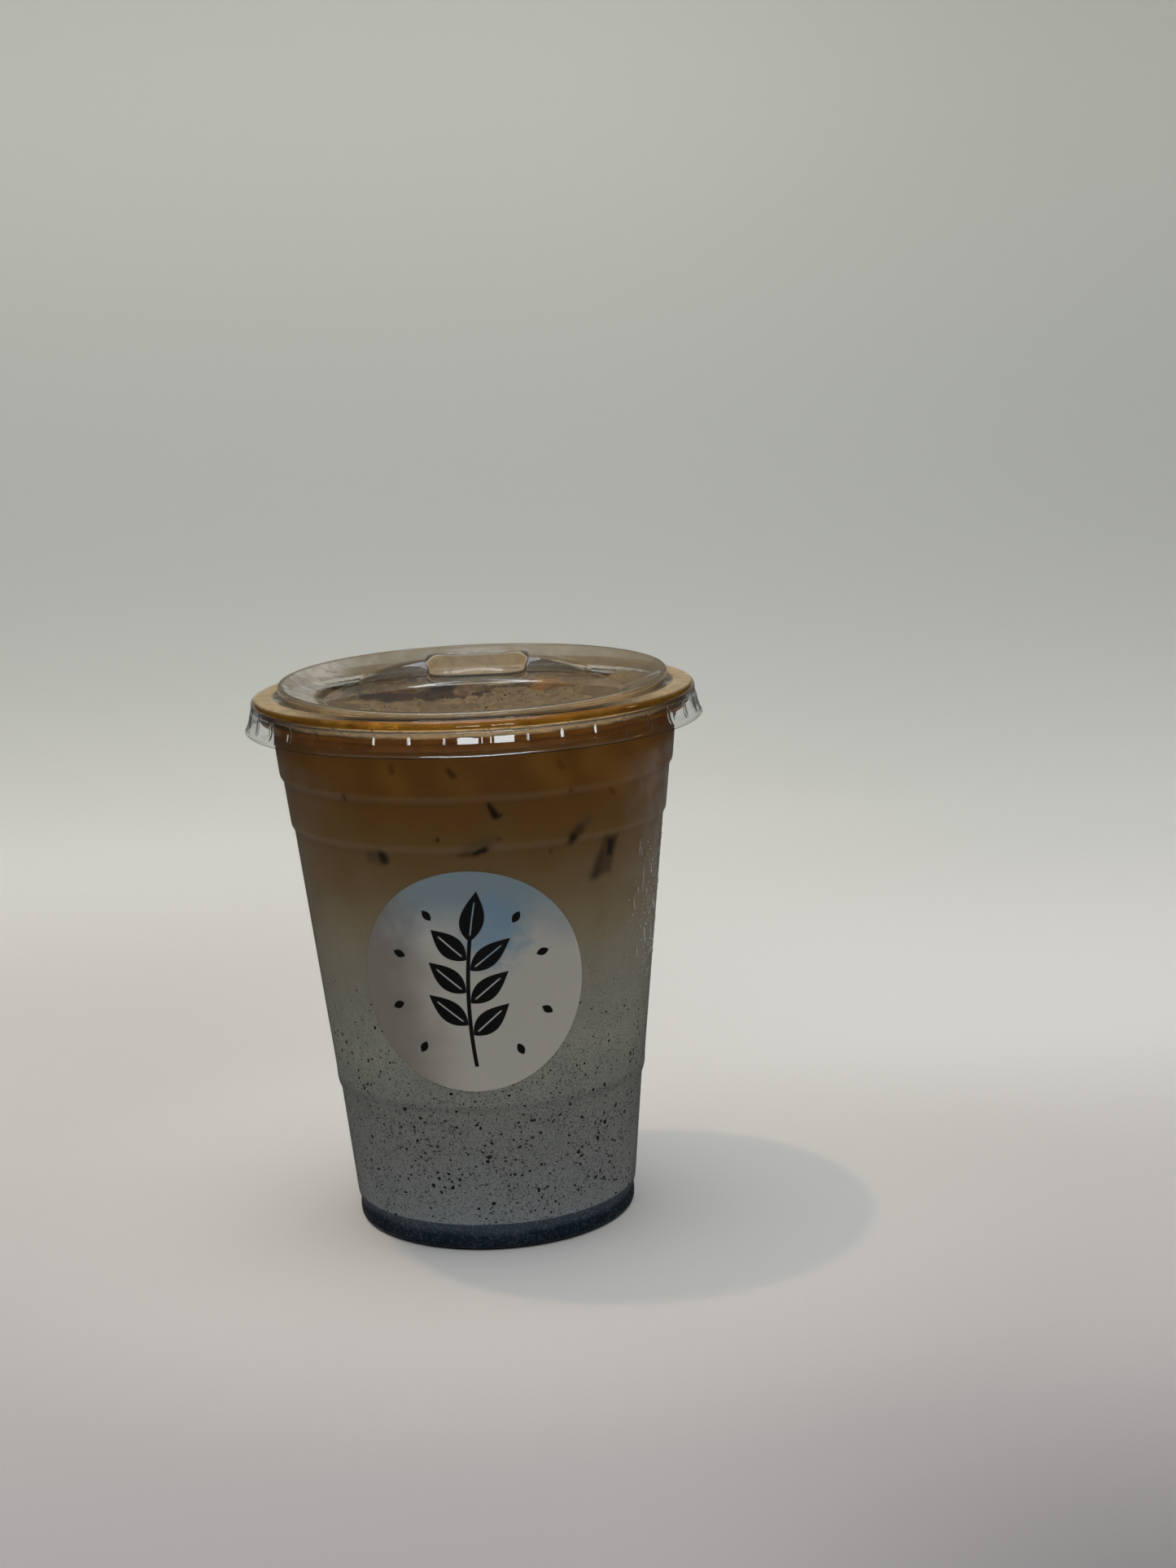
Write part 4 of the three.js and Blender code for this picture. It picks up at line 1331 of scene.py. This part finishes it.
# A square grid (a, b) is drawn in to a disc as (a sqrt(1 - b^2/2), b sqrt(1 - a^2/2)) times the radius, once
# for the face and once, reversed, for the back. A point at (across, up) sits at height up, and
# across / distance round the wall.
def makeSticker(c):
    a, b = np.meshgrid(np.linspace(-1, 1, c["grid"]), np.linspace(-1, 1, c["grid"]))
    across = c["radius"] * a * np.sqrt(1 - b * b / 2)
    up = c["radius"] * b * np.sqrt(1 - a * a / 2)
    edge = np.hypot(across, up) > c["radius"] - 0.01
    sides = []
    for proud, inset in ((c["thickness"], 0.03), (0.0, 0.0)):
        shrink = np.where(edge, 1 - inset / c["radius"], 1.0)
        height = c["height"] + up * shrink
        distance = wallRadius(height) + proud + 0.006
        around = across * shrink / distance + math.radians(c["turn"])
        place = [distance * np.sin(around), -distance * np.cos(around), height]
        sides.append(np.stack(place, axis=-1).reshape(-1, 3))
    faces = gridFaces(c["grid"], c["grid"])
    last = c["grid"] - 1
    line = np.arange(last)
    rim = np.concatenate([line, line * c["grid"] + last, (last - line) + last * c["grid"],
                          (last - line) * c["grid"]])
    nextRim = np.roll(rim, -1)
    back = c["grid"] ** 2
    band = np.stack([rim, rim + back, nextRim + back, nextRim], axis=-1)
    faces = np.concatenate([faces, faces[:, ::-1] + back, band])
    piece = makePiece("round_sticker", np.concatenate(sides), faces, stickerMaterial(), 50.0)
    mesh = piece.data
    placed = readPoints(mesh)
    distance = np.hypot(placed[:, 0], placed[:, 1])
    right = (np.arctan2(placed[:, 0], -placed[:, 1]) - math.radians(c["turn"])) * distance
    corner = np.empty(len(mesh.loops), np.int32)
    mesh.loops.foreach_get("vertex_index", corner)
    spread = np.stack([right, placed[:, 2] - c["height"]], axis=-1)[corner] / c["mapSpan"] + 0.5
    layer = mesh.uv_layers.new(name="disc")
    layer.data.foreach_set("uv", spread.astype(np.float32).ravel())
    return piece


sprig = {
    "stemHalf": 0.45,
    "stemLow": -19.5,
    "stemHigh": 10.0,
    "bend": 0.0045,  # sideways curve of the stem, times height squared
    "pairs": (-12.5, -5.0, 2.5),
    "stagger": 2.4,
    "leafLength": 11.0,
    "leafWidth": 2.5,
    "lean": 50.0,
    "topLength": 11.5,
    "veinHalf": 0.16,
    # Across, up and lean in degrees of each loose seed
    "seeds": [(-11.5, -15.0, 30), (10.0, -16.0, -25), (-17.0, -5.5, 65), (16.5, -7.5, -55), (-16.0, 6.5, 110),
              (16.0, 6.0, 75), (-9.0, 15.5, 140), (10.5, 14.5, 35)],
    "seedLength": 1.5,
    "seedWidth": 0.85,
}


# Print: 1 in the ink. A leaf is |across| < width * sin(pi * t^0.8) for t from 0 to 1 along it, with a light
# vein down its middle, and a seed is |across| < width * (1 - (along / length)^2)
def sprigInk(finish, u, v, c):
    side = u - (v + 5) * (v + 5) * c["bend"] + 0.8
    soft = 0.06

    def inside(value, limit):
        return 1 - value.between(limit - soft, limit + soft)

    def leaf(across, along, length, width):
        t = (along / length).most(0.0).least(1.0)
        arch = (t**0.8) * math.pi
        profile = arch.math("SINE", arch)
        vein = inside(across.size(), c["veinHalf"]) * (1 - t.between(0.72, 0.80)) * t.between(0.10, 0.16)
        return (1 - (across.size() - profile * width).between(-2 * soft, 0.0)) * (1 - vein)

    middle = (c["stemLow"] + c["stemHigh"]) / 2
    ink = inside(side.size(), c["stemHalf"]) * inside((v - middle).size(), (c["stemHigh"] - c["stemLow"]) / 2)
    lean = math.radians(c["lean"])
    for base in c["pairs"]:
        for offset, mirror in ((0.0, 1), (c["stagger"], -1)):
            along = side * (math.sin(lean) * mirror) + (v - (base + offset)) * math.cos(lean) - 0.6
            across = side * (math.cos(lean) * mirror) - (v - (base + offset)) * math.sin(lean)
            ink = ink.most(leaf(across, along, c["leafLength"], c["leafWidth"]))
    for seedAcross, seedUp, turn in c["seeds"]:
        cos, sin = math.cos(math.radians(turn)), math.sin(math.radians(turn))
        along = (u - seedAcross) * sin + (v - seedUp) * cos
        across = (u - seedAcross) * cos - (v - seedUp) * sin
        full = (1 - (along * along) / c["seedLength"] ** 2) * c["seedWidth"]
        ink = ink.most(1 - (across.size() - full).between(-soft, soft))
    return ink.most(leaf(side, v - c["stemHigh"] + 0.5, c["topLength"], c["leafWidth"] * 1.1))


# Pearl paper with its sheen painted in: cool towards the top, warmer at the left, a blue sheen at the upper
# right, then the print
def stickerMaterial():
    finish = Finish("pearl sticker paper", "UV")
    u, v, w = finish.axes()
    u = (u - 0.5) * sticker["mapSpan"]
    v = (v - 0.5) * sticker["mapSpan"]
    ink = sprigInk(finish, u, v, sprig)
    span = sticker["mapSpan"] * mm
    wide = finish.add("VectorMath", {"operation": "SCALE"}, {0: finish.place, "Scale": span})
    drift = finish.noise(11.0, 2.0, 0.5, wide)
    fine = finish.noise(0.5, 2.0, 0.0, wide)
    # Painted sheen: cool and blue reflections and a warmer left side on the pearl paper
    coolSheen = (v + (drift - 0.5) * 16).between(4, 22)
    left = (u * -1 - v * 0.2 + (drift - 0.5) * 12).between(4, 20)
    fromBlueSheen = ((u - 6) * (u - 6) + (v - 13) * (v - 13) * 0.5).root() + (drift - 0.5) * 9
    paper = finish.mix(coolSheen * 0.85, (0.542, 0.508, 0.447), (0.200, 0.280, 0.322))
    blotch = finish.noise(2.6, 4.0, 0.0, wide)
    blueSheen = finish.mix((1 - (fromBlueSheen + (blotch - 0.5) * 9).between(3, 9)) * 0.8, paper, (0.19, 0.32, 0.43))
    warmSheen = finish.mix(left * 0.8, blueSheen, (0.190, 0.157, 0.130))
    printed = finish.mix(ink, warmSheen, (0.006, 0.006, 0.006))
    look = {
        "Base Color": printed,
        "Roughness": 0.38 + fine * 0.10,
        "Specular IOR Level": 0.25,
        "Coat Weight": 0.08,
        "Coat Roughness": 0.3,
        "Normal": finish.bump(fine, 0.01, 0.3),
    }
    return finish.done(finish.surface(look))


dress(makeSticker(sticker), "sticker", "label")

# Condensation on the outside of the wall, most of it at the right

dew = {
    "count": 260,
    "streaks": 26,
    "turn": 70,  # degrees, where they gather
    "lowest": 56,
    "highest": 91,
    "seed": 23,
}


# Flat lumps on the wall, drops first and then streaks drawn out upwards, scattered by a bell curve
def makeDew(c):
    random = np.random.default_rng(c["seed"])
    turn = np.radians(random.normal(c["turn"], 9, c["count"]))
    height = random.uniform(c["lowest"], c["highest"], c["count"])
    half = 0.09 + 0.22 * random.beta(1.2, 4, c["count"])
    long = half * random.uniform(0.9, 1.5, c["count"])
    runTurn = np.radians(random.normal(69, 8, c["streaks"]))
    turn = np.concatenate([turn, runTurn])
    height = np.concatenate([height, random.uniform(60, 89, c["streaks"])])
    half = np.concatenate([half, random.uniform(0.10, 0.2, c["streaks"])])
    long = np.concatenate([long, random.uniform(0.8, 2.4, c["streaks"])])
    sizes = np.stack([half, long, 0.5 * half], axis=-1)
    radius = wallRadius(height) + 0.02
    centres = np.stack([radius * np.sin(turn), -radius * np.cos(turn), height], axis=-1)
    axes = wallAxes(turn, random.normal(0, 0.12, len(turn)))
    finish = Finish("dew")
    look = {
        "Base Color": (0.97, 0.97, 0.97),
        "Transmission Weight": 0.7,
        "IOR": 1.33,
        "Roughness": 0.15,
    }
    material = finish.done(finish.clear(look, (0.97, 0.97, 0.97)))
    return makeLumps("dew_drops", centres, axes, sizes, 0.08, material, random)


dewMade = makeDew(dew)
shadeSmooth(dewMade.data, 180.0)
dress(dewMade, "clear_cup")

# Stage: a pale floor that curves up into a backdrop far behind

stage = {
    "halfWidth": 4.0,
    "front": -4.5,
    "bendStart": 0.50,
    "bendRadius": 0.60,
    "top": 3.2,
}


# The board's colour has light and shade painted in: darker towards the front and in a patch at the front
# right, lighter right round the cup, behind it lighter to the right and further back lighter to the left, and
# on the backdrop lighter higher up and darker to the right. Mirrored in plastic, the board is dark in front
# of 0.6 m and above 0.22 m, as in a dim room, and a little less so right beside the cup
def stageMaterial():
    finish = Finish("pale board")
    x, y, z = finish.axes()
    grain = finish.noise(1.2, 2.0)
    # Painted shade: darker towards the front
    near = finish.mix(y.between(-0.25, 0.05), (0.455, 0.415, 0.42), (0.64, 0.60, 0.57))
    # Painted shade: a darker patch at the front right
    corner = x.between(0.01, 0.11) * (1 - y.between(-0.24, -0.08)) * 0.9
    near = finish.mix(corner, near, (0.24, 0.22, 0.225))
    # Painted light: behind the cup lighter to the right, further back lighter to the left
    deep = finish.mix(x.between(-0.12, 0.12), (0.67, 0.62, 0.58), (0.78, 0.74, 0.705))
    near = finish.mix(y.between(0.0, 0.12), near, deep)
    horizon = finish.mix(x.between(-0.05, 0.25), (0.76, 0.73, 0.665), (0.685, 0.66, 0.62))
    near = finish.mix(y.between(0.15, 0.40), near, horizon)
    # Painted light: lighter right round the cup
    fromCup = (x * x + y * y).root()
    near = finish.mix(1 - fromCup.between(0.04, 0.15), near, (0.78, 0.74, 0.705))
    # Painted light and shade on the backdrop: lighter higher up, darker to the right
    far = finish.mix(z.between(0.12, 0.40), (0.49, 0.48, 0.44), (0.615, 0.605, 0.525))
    far = finish.mix(x.between(0.05, 0.45) * 0.42, far, (0.43, 0.42, 0.385))
    board = finish.mix(y.between(0.40, 0.85), near, far)
    mirrored = finish.add("LightPath", out="Glossy Depth").least(1.0)
    bounced = finish.add("LightPath", out="Diffuse Depth").least(1.0)
    beside = 1 - fromCup.between(0.05, 0.09)
    dark = z.between(0.215, 0.255).most(1 - y.between(0.62, 0.85)) * (0.97 - beside * 0.05)
    dim = (mirrored * dark).most(bounced * 0.2)
    look = {
        "Base Color": finish.mix(dim, board, (0.03, 0.03, 0.03)),
        "Roughness": 0.62,
        "Specular IOR Level": 0.2,
        "Normal": finish.bump(grain, 0.02, 0.2),
    }
    return finish.done(finish.surface(look))


# A strip: flat floor, a quarter circle up, and an upright board
def makeStage(c):
    bend = np.radians(np.linspace(0, 90, 24))
    y = np.concatenate([[c["front"], 0.0], c["bendStart"] + c["bendRadius"] * np.sin(bend),
                        [c["bendStart"] + c["bendRadius"]]])
    z = np.concatenate([[0.0, 0.0], c["bendRadius"] * (1 - np.cos(bend)), [c["top"]]])
    x = np.array([-c["halfWidth"], c["halfWidth"]])
    points = np.stack(np.broadcast_arrays(x[None, :], y[:, None], z[:, None]), axis=-1).reshape(-1, 3)
    mesh = bpy.data.meshes.new("floor_and_backdrop")
    mesh.from_pydata(points.tolist(), [], gridFaces(len(y), 2).tolist())
    piece = bpy.data.objects.new("floor_and_backdrop", mesh)
    bpy.context.scene.collection.objects.link(piece)
    shadeSmooth(mesh, 60.0)
    mesh.materials.append(stageMaterial())


makeStage(stage)

# Light: a warm lamp nearly overhead, a cool wide ceiling and a faint lamp from the right. Two narrow lamps
# and two panels behind the camera only show as reflections

warmLight = (1.0, 0.70, 0.48)
coolLight = (0.88, 0.96, 1.0)
lamps = [
    {"name": "key", "at": (-0.272, 0.095, 1.181), "to": (0, 0, 0.06), "size": (0.03, 0.03), "watts": 1.75,
     "colour": warmLight, "lights": True, "mirrored": True},
    {"name": "ceiling", "at": (0.0, 0.40, 1.55), "to": (0, 0.40, 0), "size": (2.2, 1.8), "watts": 19.0,
     "colour": coolLight, "lights": True, "mirrored": False},
    {"name": "side", "at": (1.3, 0.10, 0.80), "to": (0, 0, 0.05), "size": (0.16, 0.16), "watts": 0.4,
     "colour": warmLight, "lights": True, "mirrored": True},
    {"name": "lamp behind", "at": (0.0, 0.80, 1.10), "to": (0, 0, 0.12), "size": (0.30, 0.08), "watts": 0.5,
     "colour": coolLight, "lights": False, "mirrored": True},
    {"name": "lamp above", "at": (0.06, -0.40, 1.45), "to": (0, 0, 0.12), "size": (1.00, 0.07), "watts": 2.4,
     "colour": coolLight, "lights": False, "mirrored": True},
    {"name": "panel left", "at": (-0.13, -2.3, 0.60), "to": (0, 0, 0.12), "size": (0.40, 0.22), "watts": 3.6,
     "colour": coolLight, "lights": False, "mirrored": True},
    {"name": "panel right", "at": (0.55, -2.25, 0.60), "to": (0, 0, 0.12), "size": (0.40, 0.22), "watts": 3.6,
     "colour": coolLight, "lights": False, "mirrored": True},
]


# An area lamp that looks from `at` to `to`: its axes are the line back, and two cross products with it
def makeLamp(c):
    data = bpy.data.lights.new(c["name"], "AREA")
    data.shape = "RECTANGLE"
    data.size, data.size_y = c["size"]
    data.energy = c["watts"]
    data.color = c["colour"]
    lamp = bpy.data.objects.new(c["name"], data)
    lamp.visible_camera = False
    lamp.visible_transmission = False
    lamp.visible_diffuse = c["lights"]
    lamp.visible_glossy = c["mirrored"]
    bpy.context.scene.collection.objects.link(lamp)
    at = np.array(c["at"])
    back = at - np.array(c["to"])
    back = back / np.linalg.norm(back)
    helper = np.array([0.0, 1.0, 0.0]) if abs(back[2]) > 0.9 else np.array([0.0, 0.0, 1.0])
    right = np.cross(helper, back)
    right = right / np.linalg.norm(right)
    turn = np.column_stack([right, np.cross(back, right), back])
    matrix = lamp.matrix_world.copy()
    for row in range(3):
        matrix[row][:3] = turn[row]
        matrix[row][3] = at[row]
    lamp.matrix_world = matrix


for lamp in lamps:
    makeLamp(lamp)


# The room is pale where it is seen, straight or through plastic. Mirrored in plastic it is dim, and paler
# again high up
def makeWorld():
    finish = Finish("soft room", "Generated", "worlds")
    z = finish.axes()[2]
    mirrored = finish.add("LightPath", out="Glossy Depth").least(1.0)
    bounced = finish.add("LightPath", out="Diffuse Depth").least(1.0)
    high = finish.mix(z.between(0.30, 0.75), (0.020, 0.021, 0.020), (0.17, 0.172, 0.165))
    high = finish.mix(z.between(0.90, 0.97), high, (0.95, 0.97, 0.95))
    dim = finish.mix(mirrored, (0.41, 0.44, 0.46), high)
    colour = finish.mix(mirrored.most(bounced), (0.42, 0.43, 0.39), dim)
    sky = finish.add("Background", None, {"Color": colour})
    bpy.context.scene.world = finish.done(sky, "OutputWorld")


makeWorld()
bpy.context.scene.view_settings.view_transform = "Standard"
print("stage and lamps set")
